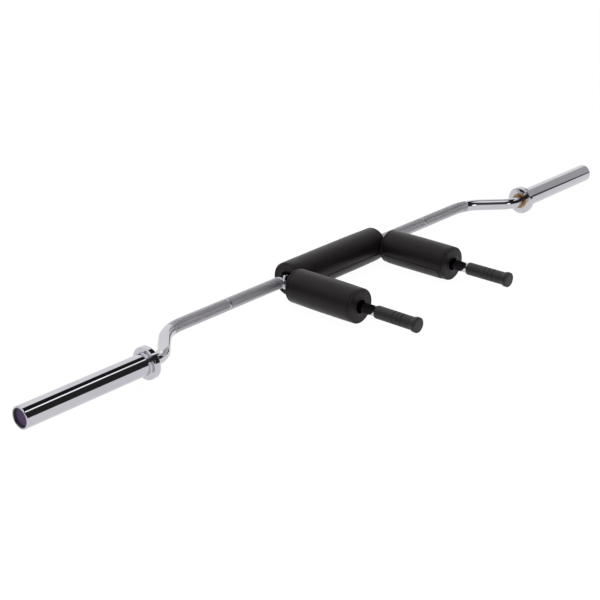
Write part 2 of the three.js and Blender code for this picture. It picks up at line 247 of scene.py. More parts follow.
class Recipe(Wiring):
    """A node group under construction, with named inputs and outputs."""

    def __init__(
        self, name: str, kind: str, inputs: Mapping[str, str], outputs: Mapping[str, str]
    ) -> None:
        super().__init__(bpy.data.node_groups.new(name, kind))
        for names, way in ((inputs, "INPUT"), (outputs, "OUTPUT")):
            for label, socket in names.items():
                self.tree.interface.new_socket(
                    label, in_out=way, socket_type=SOCKET_KINDS[socket]
                )
        self.inputs = self.add("NodeGroupInput").outputs
        self.end = self.add("NodeGroupOutput")

    def give(self, **results: bpy.types.NodeSocket) -> bpy.types.NodeTree:
        """Links the group's outputs.

        Args:
            results: a socket for each output, by its name in lower case.

        Returns:
            The finished group.
        """
        for socket in self.end.inputs:
            key = socket.name.lower().replace(" ", "_")
            if key in results:
                self.tree.links.new(results[key], socket)
        return self.tree


class Effects:
    """The surface effects that several finishes share, each built once as a node group."""

    def __init__(self) -> None:
        self.marks = self._handling_marks()
        self.wear = self._edge_wear()
        self.grain = self._pebble_grain()
        self.lines = self._turning_lines()
        self.waves = self._polish_waves()

    @staticmethod
    def _handling_marks() -> bpy.types.NodeTree:
        """Soft smears left by hands, and specks of dust.

        Returns:
            The group, which gives a Smear and a Speck mask.
        """
        recipe = Recipe(
            "Handling marks",
            "ShaderNodeTree",
            {"Vector": "vector", "Patch Size": "float", "Amount": "float"},
            {"Smear": "float", "Speck": "float"},
        )
        given = recipe.inputs
        scale = recipe.math("DIVIDE", 1.0, given["Patch Size"])
        patch = recipe.noise(given["Vector"], scale, Detail=5.0, Distortion=0.6)
        specks = recipe.noise(given["Vector"], recipe.math("MULTIPLY", scale, 38.0))
        smear = recipe.ranged(patch[0], 0.46, 0.72)
        speck = recipe.ranged(specks[0], 0.69, 0.76)
        return recipe.give(
            smear=recipe.math("MULTIPLY", smear, given["Amount"]),
            speck=recipe.math("MULTIPLY", speck, given["Amount"]),
        )

    @staticmethod
    def _edge_wear() -> bpy.types.NodeTree:
        """Wear along the corners that a mesh marks, broken up unevenly.

        Returns:
            The group, which gives a Mask.
        """
        recipe = Recipe(
            "Edge wear",
            "ShaderNodeTree",
            {"Vector": "vector", "Patch Size": "float", "Amount": "float"},
            {"Mask": "float"},
        )
        given = recipe.inputs
        marked = recipe.add("ShaderNodeAttribute", attribute_name=WEAR).outputs["Fac"]
        scale = recipe.math("DIVIDE", 1.0, given["Patch Size"])
        patches = recipe.noise(given["Vector"], scale, Detail=4.0)
        broken = recipe.ranged(patches[0], 0.35, 0.65, 0.35, 1.0)
        worn = recipe.math("MULTIPLY", recipe.ranged(marked, 0.2, 0.95), broken)
        return recipe.give(mask=recipe.math("MULTIPLY", worn, given["Amount"]))

    @staticmethod
    def _pebble_grain() -> bpy.types.NodeTree:
        """Small raised cells with creases between them, as on vinyl, rubber and foam.

        Returns:
            The group, which gives a Height and a Crease mask.
        """
        recipe = Recipe(
            "Pebble grain",
            "ShaderNodeTree",
            {"Vector": "vector", "Cell Size": "float", "Unevenness": "float"},
            {"Height": "float", "Crease": "float"},
        )
        given = recipe.inputs
        scale = recipe.math("DIVIDE", 1.0, given["Cell Size"])
        drift = recipe.noise(given["Vector"], recipe.math("MULTIPLY", scale, 0.7))
        pushed = recipe.scaled(drift[1], given["Unevenness"])
        place = recipe.vector("ADD", given["Vector"], pushed)
        cells = recipe.add(
            "ShaderNodeTexVoronoi",
            {"Vector": place, "Scale": scale},
            feature="DISTANCE_TO_EDGE",
        )
        fine = recipe.noise(given["Vector"], recipe.math("MULTIPLY", scale, 3.1))
        domed = recipe.ranged(cells.outputs["Distance"], 0.0, 0.34)
        rough = recipe.math("MULTIPLY", fine[0], 0.35)
        return recipe.give(
            height=recipe.math("ADD", domed, rough),
            crease=recipe.ranged(cells.outputs["Distance"], 0.16, 0.0),
        )

    @staticmethod
    def _turning_lines() -> bpy.types.NodeTree:
        """Fine rings that a lathe or a sliding plate leaves round a turned piece.

        Returns:
            The group, which gives a Height and a Scuff mask.
        """
        recipe = Recipe(
            "Turning lines",
            "ShaderNodeTree",
            {"Spacing": "float", "Amount": "float"},
            {"Height": "float", "Scuff": "float"},
        )
        given = recipe.inputs
        place = recipe.add("ShaderNodeAttribute", attribute_name=TURNED).outputs["Vector"]
        scale = recipe.math("DIVIDE", 1.0, given["Spacing"])
        fine = recipe.noise(place, scale, Detail=3.0)[0]
        wide = recipe.noise(place, recipe.math("MULTIPLY", scale, 0.06), Detail=6.0)[0]
        scuff = recipe.math("MULTIPLY", recipe.ranged(wide, 0.5, 0.72), fine)
        return recipe.give(
            height=recipe.math("MULTIPLY", fine, given["Amount"]),
            scuff=recipe.math("MULTIPLY", scuff, given["Amount"]),
        )

    @staticmethod
    def _polish_waves() -> bpy.types.NodeTree:
        """The long shallow waves that hand polishing leaves in a plated surface.

        Returns:
            The group, which gives a Height.
        """
        recipe = Recipe(
            "Polish waves",
            "ShaderNodeTree",
            {"Vector": "vector", "Wave Length": "float"},
            {"Height": "float"},
        )
        given = recipe.inputs
        scale = recipe.math("DIVIDE", 1.0, given["Wave Length"])
        waves = recipe.noise(given["Vector"], scale, Detail=1.0, Roughness=0.4)
        return recipe.give(height=waves[0])


class Skin(Wiring):
    """A material under construction: its shader, its coordinates and its effects."""

    def __init__(self, name: str, effects: Effects) -> None:
        material = bpy.data.materials.new(name)
        material.use_nodes = True
        super().__init__(material.node_tree)
        self.material = material
        self.effects = effects
        self.shader = material.node_tree.nodes["Principled BSDF"]
        self.place = self.add("ShaderNodeTexCoord").outputs["Object"]

    def effect(
        self, group: bpy.types.NodeTree, values: Mapping[str, float]
    ) -> bpy.types.bpy_prop_collection:
        """Places a shared effect with this material's own values.

        Args:
            group: the effect.
            values: a number for each input but the place.

        Returns:
            The effect's outputs.
        """
        node = self.add("ShaderNodeGroup", values, node_tree=group)
        if "Vector" in node.inputs:
            self.tree.links.new(self.place, node.inputs["Vector"])
        return node.outputs

    def constants(self, **values: object) -> None:
        """Sets plain values on the shader's own sockets, by their names."""
        for key, value in values.items():
            self.shader.inputs[key.replace("_", " ")].default_value = value

    def surface(
        self, colour: object, roughness: object, *heights: tuple[object, float]
    ) -> bpy.types.Material:
        """Links the surface's colour, roughness and relief.

        Args:
            colour: the base colour's socket.
            roughness: the roughness's socket.
            heights: each height with its depth in metres.

        Returns:
            The finished material.
        """
        self.tree.links.new(colour, self.shader.inputs["Base Color"])
        self.tree.links.new(roughness, self.shader.inputs["Roughness"])
        relief = None
        for height, depth in heights:
            inputs: dict[str | int, object] = {"Height": height, "Distance": depth}
            if relief is not None:
                inputs["Normal"] = relief
            relief = self.result("ShaderNodeBump", inputs)
        if relief is not None:
            self.tree.links.new(relief, self.shader.inputs["Normal"])
        return self.material


@dataclass(frozen=True)
class MetalFinish:
    """A plated, machined or sprung metal surface."""

    name: str
    colour: Colour
    tarnish: Colour
    roughness: float
    smeared: float
    smear_size: float = 0.09
    smear: float = 0.6
    wave_length: float = 0.035
    wave_depth: float = 0.00002
    line_spacing: float = 0.0004
    line_depth: float = 0.000001
    wear_size: float = 0.006
    wear: float = 0.6
    wear_gain: float = 1.12
    scuff: float = 0.8
    # a darker colour painted into the knurl's lowered points as shade in its valleys
    floor_colour: Colour | None = None

    def make(self, effects: Effects) -> bpy.types.Material:
        """Builds the material.

        Args:
            effects: the shared surface effects.

        Returns:
            The material.
        """
        skin = Skin(self.name, effects)
        smears = skin.effect(effects.marks, {"Patch Size": self.smear_size, "Amount": self.smear})
        worn = skin.effect(effects.wear, {"Patch Size": self.wear_size, "Amount": self.wear})["Mask"]
        lines = skin.effect(effects.lines, {"Spacing": self.line_spacing, "Amount": 1.0})
        waves = skin.effect(effects.waves, {"Wave Length": self.wave_length})["Height"]
        colour = skin.mixed(smears["Smear"], self.colour, self.tarnish)
        # The knurl's valleys take a darker colour: painted shade.
        if self.floor_colour is not None:
            floor = skin.add("ShaderNodeAttribute", attribute_name=KNURL_FLOOR).outputs["Fac"]
            colour = skin.mixed(floor, colour, self.floor_colour)
        bright = tuple(min(1.0, self.wear_gain * part) for part in self.colour)
        colour = skin.mixed(worn, colour, bright)
        scuffed = skin.math("MULTIPLY", lines["Scuff"], self.scuff)
        dull = skin.math("MAXIMUM", smears["Smear"], scuffed)
        dull = skin.math("MAXIMUM", dull, smears["Speck"])
        roughness = skin.blended(dull, self.roughness, self.smeared)
        skin.constants(Metallic=1.0)
        return skin.surface(
            colour, roughness, (waves, self.wave_depth), (lines["Height"], self.line_depth)
        )


@dataclass(frozen=True)
class SoftFinish:
    """A vinyl, rubber, foam, plastic or film surface."""

    name: str
    colour: Colour
    pale: Colour
    roughness: float
    shiny: float
    cell: float
    depth: float
    unevenness: float = 0.0004
    patch: float = 0.05
    marks: float = 0.6
    specular: float = 0.5
    tint: Colour = WHITE
    wear_size: float = 0.008
    wear: float = 0.8
    wear_gain: float = 1.8
    # crease and crease_gain paint shade into the grain's creases, darkening the colour there
    crease: float = 0.6
    crease_gain: float = 0.5
    dust: float = 0.35
    dust_gain: float = 3.5
    smear_gloss: float = 0.8

    def make(self, effects: Effects) -> bpy.types.Material:
        """Builds the material.

        Args:
            effects: the shared surface effects.

        Returns:
            The material.
        """
        skin = Skin(self.name, effects)
        marks = skin.effect(effects.marks, {"Patch Size": self.patch, "Amount": self.marks})
        grain = skin.effect(
            effects.grain, {"Cell Size": self.cell, "Unevenness": self.unevenness}
        )
        worn = skin.effect(effects.wear, {"Patch Size": self.wear_size, "Amount": self.wear})["Mask"]
        colour = skin.mixed(marks["Smear"], self.colour, self.pale)
        # The first layer paints shade into the grain's creases.
        layers = (
            (skin.math("MULTIPLY", grain["Crease"], self.crease), self.crease_gain, self.colour),
            # Marked corners go paler: wear, and on the pads' rounded rims also a painted highlight
            # along the welt.
            (worn, self.wear_gain, self.pale),
            (skin.math("MULTIPLY", marks["Speck"], self.dust), self.dust_gain, self.pale),
        )
        for mask, gain, base in layers:
            colour = skin.mixed(mask, colour, tuple(gain * part for part in base))
        smeared = skin.math("MULTIPLY", marks["Smear"], self.smear_gloss)
        gloss = skin.math("MAXIMUM", smeared, worn)
        roughness = skin.blended(gloss, self.roughness, self.shiny)
        skin.constants(Specular_IOR_Level=self.specular, Specular_Tint=rgba(self.tint))
        return skin.surface(colour, roughness, (grain["Height"], self.depth))


class Finish(Enum):
    """The record's material slots that pieces take their finish from."""

    CHROME = "chrome"
    KNURLED = "knurled_chrome"
    BRONZE = "bronze"
    STEEL = "spring_steel"
    PLASTIC = "cap_plastic"
    LABEL = "label"
    VINYL = "vinyl"
    FOAM = "foam"
    RUBBER = "rubber"


RECIPES: dict[Finish, MetalFinish | SoftFinish] = {
    Finish.CHROME: MetalFinish(
        "polished_chrome",
        colour=(0.53, 0.525, 0.565),
        tarnish=(0.46, 0.455, 0.495),
        roughness=0.035,
        smeared=0.10,
    ),
    Finish.KNURLED: MetalFinish(
        "knurled_chrome",
        colour=(0.60, 0.59, 0.62),
        tarnish=(0.48, 0.47, 0.50),
        roughness=0.36,
        smeared=0.42,
        smear=0.2,
        # painted shade in the knurl valleys
        floor_colour=(0.36, 0.35, 0.38),
    ),
    Finish.BRONZE: MetalFinish(
        "sintered_bronze",
        colour=(0.40, 0.24, 0.10),
        tarnish=(0.15, 0.085, 0.035),
        roughness=0.24,
        smeared=0.45,
        smear_size=0.004,
        line_spacing=0.0003,
        line_depth=0.00001,
    ),
    Finish.STEEL: MetalFinish(
        "oiled_spring_steel",
        colour=(0.10, 0.10, 0.11),
        tarnish=(0.05, 0.045, 0.04),
        roughness=0.25,
        smeared=0.5,
        smear_size=0.006,
    ),
    Finish.PLASTIC: SoftFinish(
        "cap_plastic",
        colour=(0.010, 0.009, 0.011),
        pale=(0.016, 0.015, 0.018),
        roughness=0.42,
        shiny=0.3,
        cell=0.0006,
        depth=0.00002,
        patch=0.02,
    ),
    Finish.LABEL: SoftFinish(
        "label_film",
        colour=(0.068, 0.020, 0.135),
        pale=(0.082, 0.028, 0.155),
        roughness=0.42,
        shiny=0.34,
        cell=0.0009,
        depth=0.000012,
        patch=0.012,
        specular=0.3,
    ),
    Finish.VINYL: SoftFinish(
        "black_vinyl",
        colour=(0.0090, 0.0074, 0.0085),
        pale=(0.0130, 0.0111, 0.0124),
        roughness=0.38,
        shiny=0.33,
        cell=0.0013,
        depth=0.00006,
        specular=0.2,
        tint=(1.0, 0.88, 0.96),
    ),
    Finish.FOAM: SoftFinish(
        "pad_foam",
        colour=(0.008, 0.008, 0.008),
        pale=(0.014, 0.014, 0.014),
        roughness=0.95,
        shiny=0.85,
        cell=0.0016,
        depth=0.0004,
        specular=0.25,
    ),
    Finish.RUBBER: SoftFinish(
        "grip_rubber",
        colour=(0.0085, 0.0078, 0.0076),
        pale=(0.0135, 0.0122, 0.0112),
        roughness=0.46,
        shiny=0.40,
        cell=0.0008,
        depth=0.00004,
        patch=0.03,
        specular=0.4,
    ),
}


def placed(name: str, data: bpy.types.ID) -> bpy.types.Object:
    """Makes an object of a mesh, a lamp or a camera, and puts it in the scene."""
    piece = bpy.data.objects.new(name, data)
    bpy.context.scene.collection.objects.link(piece)
    return piece


def evaluated(piece: bpy.types.Object) -> bpy.types.Mesh:
    """Gives an object's mesh with its modifiers applied."""
    graph = bpy.context.evaluated_depsgraph_get()
    return bpy.data.meshes.new_from_object(piece.evaluated_get(graph))


class Workshop:
    """Holds the finishes, and hands each finished piece to its body."""

    def __init__(self) -> None:
        effects = Effects()
        self.materials = {finish: recipe.make(effects) for finish, recipe in RECIPES.items()}

    def fit(
        self,
        name: str,
        mesh: bpy.types.Mesh,
        body: Body,
        finish: Finish,
        nodes: Sequence[str] = (),
    ) -> bpy.types.Object:
        """Makes a piece of a mesh and mounts it on its body.

        Args:
            name: the piece's name.
            mesh: its mesh, already in place.
            body: the body that it rides on.
            finish: its material slot.
            nodes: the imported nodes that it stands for.

        Returns:
            The piece.
        """
        mesh.name = name
        mesh.materials.clear()
        mesh.materials.append(self.materials[finish])
        piece = placed(name, mesh)
        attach(piece, body.value)
        if nodes:
            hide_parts(*nodes)
        log.info("%s: %d faces, on %s", name, len(mesh.polygons), body.value)
        return piece

    def repaint(self, node: str, finish: Finish) -> None:
        """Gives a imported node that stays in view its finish."""
        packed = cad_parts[node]
        for slot in packed.material_slots:
            slot.material = self.materials[finish]
        log.info("%s: kept as packed, in %s", node, finish.value)


@dataclass(frozen=True)
class Turn:
    """One corner of a turned outline: its place and the radius that rounds it."""

    along: float
    radius: float
    rounding: float = 0.0


Outline = list[tuple[float, float, float]]


def rounded_outline(corners: Sequence[Turn], steps: int = 5, support: float = 0.0003) -> Outline:
    """Rounds the corners of an outline that closes on itself or starts and ends on the axis.

    Args:
        corners: the outline's corners, in order.
        steps: how many steps make one rounded corner.
        support: how far beside a rounded corner an extra point keeps the flats flat.

    Returns:
        (along, radius, wear) points, with wear 1 on the outer rounded corners.
    """
    open_ended = corners[0].radius == 0.0 and corners[-1].radius == 0.0
    points = [Vector((corner.along, corner.radius)) for corner in corners]
    count = len(points)
    area = sum(points[i - 1].x * points[i].y - points[i].x * points[i - 1].y for i in range(count))
    outline: Outline = []
    for index, corner in enumerate(corners):
        here = points[index]
        at_end = open_ended and index in (0, count - 1)
        if corner.rounding == 0.0 or at_end:
            outline.append((here.x, here.y, 0.0))
            continue
        back = points[index - 1] - here
        ahead = points[(index + 1) % count] - here
        before, after = back.normalized(), ahead.normalized()
        half = before.angle(after) / 2
        room = 0.49 * min(back.length, ahead.length)
        reach = min(corner.rounding / math.tan(half), room)
        radius = reach * math.tan(half)
        centre = here + (before + after).normalized() * (radius / math.sin(half))
        start = here + before * reach - centre
        finish = here + after * reach - centre
        swing = start.angle_signed(finish)
        outward = (before.x * after.y - before.y * after.x) * area < 0
        beside = reach + support
        if beside < 0.49 * back.length:
            outline.append((*(here + before * beside), 0.0))
        for step in range(steps + 1):
            share = step / steps
            turn = -swing * share
            arm = Vector(
                (
                    start.x * math.cos(turn) - start.y * math.sin(turn),
                    start.x * math.sin(turn) + start.y * math.cos(turn),
                )
            )
            wear = math.sin(math.pi * share) if outward else 0.0
            outline.append((*(centre + arm), wear))
        if beside < 0.49 * ahead.length:
            outline.append((*(here + after * beside), 0.0))
    return outline


def close_mesh(name: str, points: Sequence[Sequence[float]], faces: list) -> bpy.types.Mesh:
    """Makes a smooth closed mesh whose faces point outwards.

    Args:
        name: the mesh's name.
        points: its corners.
        faces: its faces, as lists of corner numbers.

    Returns:
        The mesh.
    """
    mesh = bpy.data.meshes.new(name)
    mesh.from_pydata(points, [], faces)
    face_outwards(mesh)
    mesh.shade_smooth()
    return mesh


def face_outwards(mesh: bpy.types.Mesh, weld: bool = False) -> bpy.types.Mesh:
    """Turns a closed mesh's faces outwards.

    Args:
        mesh: the mesh, which is changed.
        weld: whether its doubles and its faces without area go first.

    Returns:
        The same mesh.
    """
    shell = bmesh.new()
    shell.from_mesh(mesh)
    if weld:
        bmesh.ops.remove_doubles(shell, verts=shell.verts, dist=WELD_TOLERANCE)
        bmesh.ops.dissolve_degenerate(shell, edges=shell.edges, dist=WELD_TOLERANCE)
    bmesh.ops.recalc_face_normals(shell, faces=shell.faces)
    shell.to_mesh(mesh)
    shell.free()
    return mesh


def grid_faces(rows: int, wide: int, closed: bool) -> list[list[int]]:
    """Lists the faces between rows of points that each run round a piece.

    Args:
        rows: how many rows there are.
        wide: how many points a row has.
        closed: whether the last row joins the first.

    Returns:
        The faces, as lists of point numbers.
    """
    faces = []
    for row in range(rows if closed else rows - 1):
        here, there = row * wide, (row + 1) % rows * wide
        for column in range(wide):
            ahead = (column + 1) % wide
            faces.append([here + column, here + ahead, there + ahead, there + column])
    return faces


def mark(mesh: bpy.types.Mesh, name: str, kind: str, values: Sequence) -> None:
    """Stores one value for each of a mesh's points.

    Args:
        mesh: the mesh.
        name: the attribute's name.
        kind: FLOAT or FLOAT_VECTOR.
        values: the values, in the points' order.
    """
    attribute = mesh.attributes.new(name, kind, "POINT")
    key = "value" if kind == "FLOAT" else "vector"
    attribute.data.foreach_set(key, np.asarray(values, dtype=np.float32).ravel())


def laid(origin: Vector, heading: Vector) -> Matrix:
    """Gives the place of a turned piece: where its axis starts and which way it runs."""
    rotation = Matrix((heading, UP.cross(heading), UP)).transposed()
    return Matrix.Translation(origin) @ rotation.to_4x4()


def turned(
    name: str, corners: Sequence[Turn], place: Matrix, sides: int = 128, steps: int = 5
) -> bpy.types.Mesh:
    """Turns an outline round its axis.

    Args:
        name: the mesh's name.
        corners: the outline's corners, in order.
        place: where the axis starts and which way it runs.
        sides: how many sides make the round.
        steps: how many steps make one rounded corner.

    Returns:
        The closed mesh, marked with its wear and its turning lines.
    """
    outline = rounded_outline(corners, steps)
    open_ended = corners[0].radius == 0.0 and corners[-1].radius == 0.0
    points: list[Vector] = []
    wear: list[float] = []
    lines: list[tuple[float, float, float]] = []
    rings: list[list[int]] = []
    for along, radius, worn in outline:
        count = sides if radius > WELD_TOLERANCE else 1
        first = len(points)
        for step in range(count):
            angle = 2 * math.pi * step / sides
            local = Vector((along, radius * math.cos(angle), radius * math.sin(angle)))
            points.append(place @ local)
            wear.append(worn)
            lines.append((along, radius, 0.0))
        rings.append([first + step % count for step in range(sides)])
    pairs = list(zip(rings, rings[1:])) if open_ended else list(zip(rings, rings[1:] + rings[:1]))
    faces = []
    for here, there in pairs:
        for step in range(sides):
            ahead = (step + 1) % sides
            loop = [here[step], here[ahead], there[ahead], there[step]]
            face = [vertex for position, vertex in enumerate(loop) if vertex != loop[position - 1]]
            if len(face) > 2:
                faces.append(face)
    mesh = close_mesh(name, points, faces)
    mark(mesh, WEAR, "FLOAT", wear)
    mark(mesh, TURNED, "FLOAT_VECTOR", lines)
    return mesh


def joined(name: str, meshes: Sequence[bpy.types.Mesh]) -> bpy.types.Mesh:
    """Puts several meshes into one.

    Args:
        name: the new mesh's name.
        meshes: what goes in, in order.

    Returns:
        The joined mesh.
    """
    whole = bmesh.new()
    for mesh in meshes:
        whole.from_mesh(mesh)
    result = bpy.data.meshes.new(name)
    whole.to_mesh(result)
    whole.free()
    return result


def run_tree(
    name: str,
    tree: bpy.types.NodeTree,
    base: bpy.types.Mesh,
    values: Mapping[str, object],
) -> bpy.types.Mesh:
    """Runs a geometry tree on a base mesh and gives the result as a plain mesh.

    Args:
        name: the result's name.
        tree: the geometry tree.
        base: the mesh that the tree starts from.
        values: a value for each of the tree's named inputs.

    Returns:
        The result, with nothing left to evaluate.
    """
    carrier = placed(name, base)
    modifier = carrier.modifiers.new(name, "NODES")
    modifier.node_group = tree
    for item in tree.interface.items_tree:
        if item.in_out == "INPUT" and item.name in values:
            modifier[item.identifier] = values[item.name]
    mesh = evaluated(carrier)
    carrier.modifiers.remove(modifier)
    bpy.data.objects.remove(carrier)
    return mesh


def sweep_tree() -> bpy.types.NodeTree:
    """The tree that sweeps a turned outline along a bent centre line, knurled where marked.

    The outline object's points hold the place along the bar from its middle, the radius, and
    1 where the surface is knurled. Knurling lowers every second point, and its faces are cut
    between low points, so that two sets of straight grooves cross and leave pointed diamonds.

    Returns:
        The tree.
    """
    recipe = Recipe(
        "Bent bar sweep",
        "GeometryNodeTree",
        {
            "Centre Line": "geometry",
            "Outline": "object",
            "Columns": "int",
            "Knurl Depth": "float",
            "Material": "material",
        },
        {"Geometry": "geometry"},
    )
    given = recipe.inputs
    line = recipe.result("GeometryNodeMeshToCurve", {"Mesh": given["Centre Line"]})
    length = recipe.result("GeometryNodeCurveLength", {"Curve": line})
    outline = recipe.add("GeometryNodeObjectInfo", {"Object": given["Outline"]}).outputs["Geometry"]
    rows = recipe.result("GeometryNodeAttributeDomainSize", {"Geometry": outline})
    wide = recipe.math("ADD", given["Columns"], 1.0)
    grid = recipe.result("GeometryNodeMeshGrid", {"Vertices X": rows, "Vertices Y": wide})
    index = recipe.result("GeometryNodeInputIndex")
    row = recipe.math("FLOOR", recipe.math("DIVIDE", recipe.math("ADD", index, 0.5), wide))
    column = recipe.math("SUBTRACT", index, recipe.math("MULTIPLY", row, wide))
    place = recipe.result("GeometryNodeInputPosition")
    point = recipe.result(
        "GeometryNodeSampleIndex",
        {"Geometry": outline, "Value": place, "Index": row},
        data_type="FLOAT_VECTOR",
    )
    parts = recipe.add("ShaderNodeSeparateXYZ", {0: point}).outputs
    raised = recipe.math("MODULO", recipe.math("ADD", row, column), 2.0)
    lowered = recipe.math("MULTIPLY", parts["Z"], raised)
    depth = recipe.math("MULTIPLY", lowered, given["Knurl Depth"])
    radius = recipe.math("SUBTRACT", parts["Y"], depth)
    run = recipe.math("MULTIPLY_ADD", length, 0.5, parts["X"])
    sample = recipe.add(
        "GeometryNodeSampleCurve", {"Curves": line, "Length": run}, mode="LENGTH"
    ).outputs
    across = recipe.vector("NORMALIZE", recipe.vector("CROSS_PRODUCT", sample["Tangent"], tuple(UP)))
    step = recipe.math("DIVIDE", 2 * math.pi, given["Columns"])
    angle = recipe.math("MULTIPLY", column, step)
    level = recipe.scaled(across, recipe.math("COSINE", angle))
    upright = recipe.scaled(tuple(UP), recipe.math("SINE", angle))
    arm = recipe.scaled(recipe.vector("ADD", level, upright), radius)
    moved = recipe.result(
        "GeometryNodeSetPosition",
        {"Geometry": grid, "Position": recipe.vector("ADD", sample["Position"], arm)},
    )
    marked = moved
    # The lowered points are stored for the knurled material, which paints shade into them.
    for name, value in ((KNURL_FLOOR, lowered), (KNURLED, parts["Z"])):
        values = {"Geometry": marked, "Name": name, "Value": value}
        marked = recipe.result("GeometryNodeStoreNamedAttribute", values)
    stored = recipe.result("GeometryNodeInputNamedAttribute", {"Name": KNURLED})
    cut = recipe.result(
        "GeometryNodeTriangulate",
        {"Mesh": marked, "Selection": recipe.math("GREATER_THAN", stored, 0.5)},
        quad_method="SHORTEST_DIAGONAL",
    )
    smooth = recipe.result(
        "GeometryNodeSetShadeSmooth",
        {"Geometry": cut, "Shade Smooth": recipe.math("LESS_THAN", stored, 0.5)},
    )
    welded = recipe.result(
        "GeometryNodeMergeByDistance", {"Geometry": smooth, "Distance": WELD_TOLERANCE}
    )
    return finished(recipe, welded)


def finished(recipe: Recipe, geometry: bpy.types.NodeSocket) -> bpy.types.NodeTree:
    """Ends a geometry tree: real geometry, in its material.

    Args:
        recipe: the tree under construction, with a Material input.
        geometry: the tree's last result.

    Returns:
        The finished tree.
    """
    real = recipe.result("GeometryNodeRealizeInstances", {"Geometry": geometry})
    dressed = recipe.result(
        "GeometryNodeSetMaterial", {"Geometry": real, "Material": recipe.inputs["Material"]}
    )
    return recipe.give(geometry=dressed)


def bead_tree() -> bpy.types.NodeTree:
    """The tree that lays a rippled weld bead where an arm's outside meets the bar's.

    Returns:
        The tree.
    """
    recipe = Recipe(
        "Weld bead",
        "GeometryNodeTree",
        {
            "Geometry": "geometry",
            "Root": "vector",
            "Arm Radius": "float",
            "Bar Radius": "float",
            "Set Off": "float",
            "Bead Radius": "float",
            "Ripples": "int",
            "Ripple Share": "float",
            "Lump Share": "float",
            "Steps": "int",
            "Sides": "int",
            "Seed": "float",
            "Material": "material",
        },
        {"Geometry": "geometry"},
    )
    given = recipe.inputs
    ring = recipe.result("GeometryNodeCurvePrimitiveCircle", {"Resolution": given["Steps"]})
    index = recipe.result("GeometryNodeInputIndex")
    share = recipe.math("DIVIDE", index, given["Steps"])
    angle = recipe.math("MULTIPLY", share, 2 * math.pi)
    reach = recipe.math("ADD", given["Arm Radius"], given["Set Off"])
    across = recipe.math("MULTIPLY", reach, recipe.math("COSINE", angle))
    up = recipe.math("MULTIPLY", reach, recipe.math("SINE", angle))
    bar = recipe.math("POWER", recipe.math("ADD", given["Bar Radius"], given["Set Off"]), 2.0)
    deep = recipe.math("SQRT", recipe.math("SUBTRACT", bar, recipe.math("POWER", up, 2.0)))
    place = recipe.result(
        "ShaderNodeCombineXYZ", {0: across, 1: recipe.math("MULTIPLY", deep, -1.0), 2: up}
    )
    path = recipe.result(
        "GeometryNodeSetPosition",
        {"Geometry": ring, "Position": recipe.vector("ADD", place, given["Root"])},
    )
    phase = recipe.math("MULTIPLY", angle, given["Ripples"])
    ripple = recipe.math("MULTIPLY", recipe.math("COSINE", phase), given["Ripple Share"])
    lumps = recipe.result(
        "ShaderNodeTexNoise",
        {"Vector": place, "W": given["Seed"], "Scale": 210.0, "Detail": 2.0},
        noise_dimensions="4D",
    )
    lump = recipe.math("MULTIPLY", recipe.math("SUBTRACT", lumps, 0.5), given["Lump Share"])
    swell = recipe.math("ADD", recipe.math("ADD", ripple, lump), 1.0)
    section = recipe.result(
        "GeometryNodeCurvePrimitiveCircle",
        {"Resolution": given["Sides"], "Radius": given["Bead Radius"]},
    )
    bead = recipe.result(
        "GeometryNodeCurveToMesh", {"Curve": path, "Profile Curve": section, "Scale": swell}
    )
    smooth = recipe.result("GeometryNodeSetShadeSmooth", {"Geometry": bead})
    return finished(recipe, smooth)


def stitch_tree() -> bpy.types.NodeTree:
    """The tree that puts one thread stitch on each point, along the seam and on the surface.

    Returns:
        The tree.
    """
    recipe = Recipe(
        "Stitch row",
        "GeometryNodeTree",
        {
            "Points": "geometry",
            "Stitch Length": "float",
            "Thread Radius": "float",
            "Unevenness": "float",
            "Seed": "int",
            "Material": "material",
        },
        {"Geometry": "geometry"},
    )
    given = recipe.inputs
    ball = recipe.add("GeometryNodeMeshUVSphere", {"Segments": 8, "Rings": 5, "Radius": 1.0})
    half = recipe.math("MULTIPLY", given["Stitch Length"], 0.5)
    size = recipe.result(
        "ShaderNodeCombineXYZ", {0: half, 1: given["Thread Radius"], 2: given["Thread Radius"]}
    )
    thread = recipe.result(
        "GeometryNodeTransform", {"Geometry": ball.outputs[0], "Scale": size}
    )
    heading = recipe.result(
        "GeometryNodeInputNamedAttribute", {"Name": HEADING}, data_type="FLOAT_VECTOR"
    )
    facing = recipe.result(
        "GeometryNodeInputNamedAttribute", {"Name": FACING}, data_type="FLOAT_VECTOR"
    )
    turned_along = recipe.result(
        "FunctionNodeAlignRotationToVector", {"Vector": heading}, axis="X"
    )
    turned_up = recipe.result(
        "FunctionNodeAlignRotationToVector",
        {"Rotation": turned_along, "Vector": facing},
        axis="Z",
        pivot_axis="X",
    )
    least = recipe.math("SUBTRACT", 1.0, given["Unevenness"])
    length = recipe.add(
        "FunctionNodeRandomValue", {2: least, 3: 1.0, "Seed": given["Seed"]}
    ).outputs[1]
    rows = recipe.result(
        "GeometryNodeInstanceOnPoints",
        {"Points": given["Points"], "Instance": thread, "Rotation": turned_up, "Scale": length},
    )
    smooth = recipe.result("GeometryNodeSetShadeSmooth", {"Geometry": rows})
    return finished(recipe, smooth)


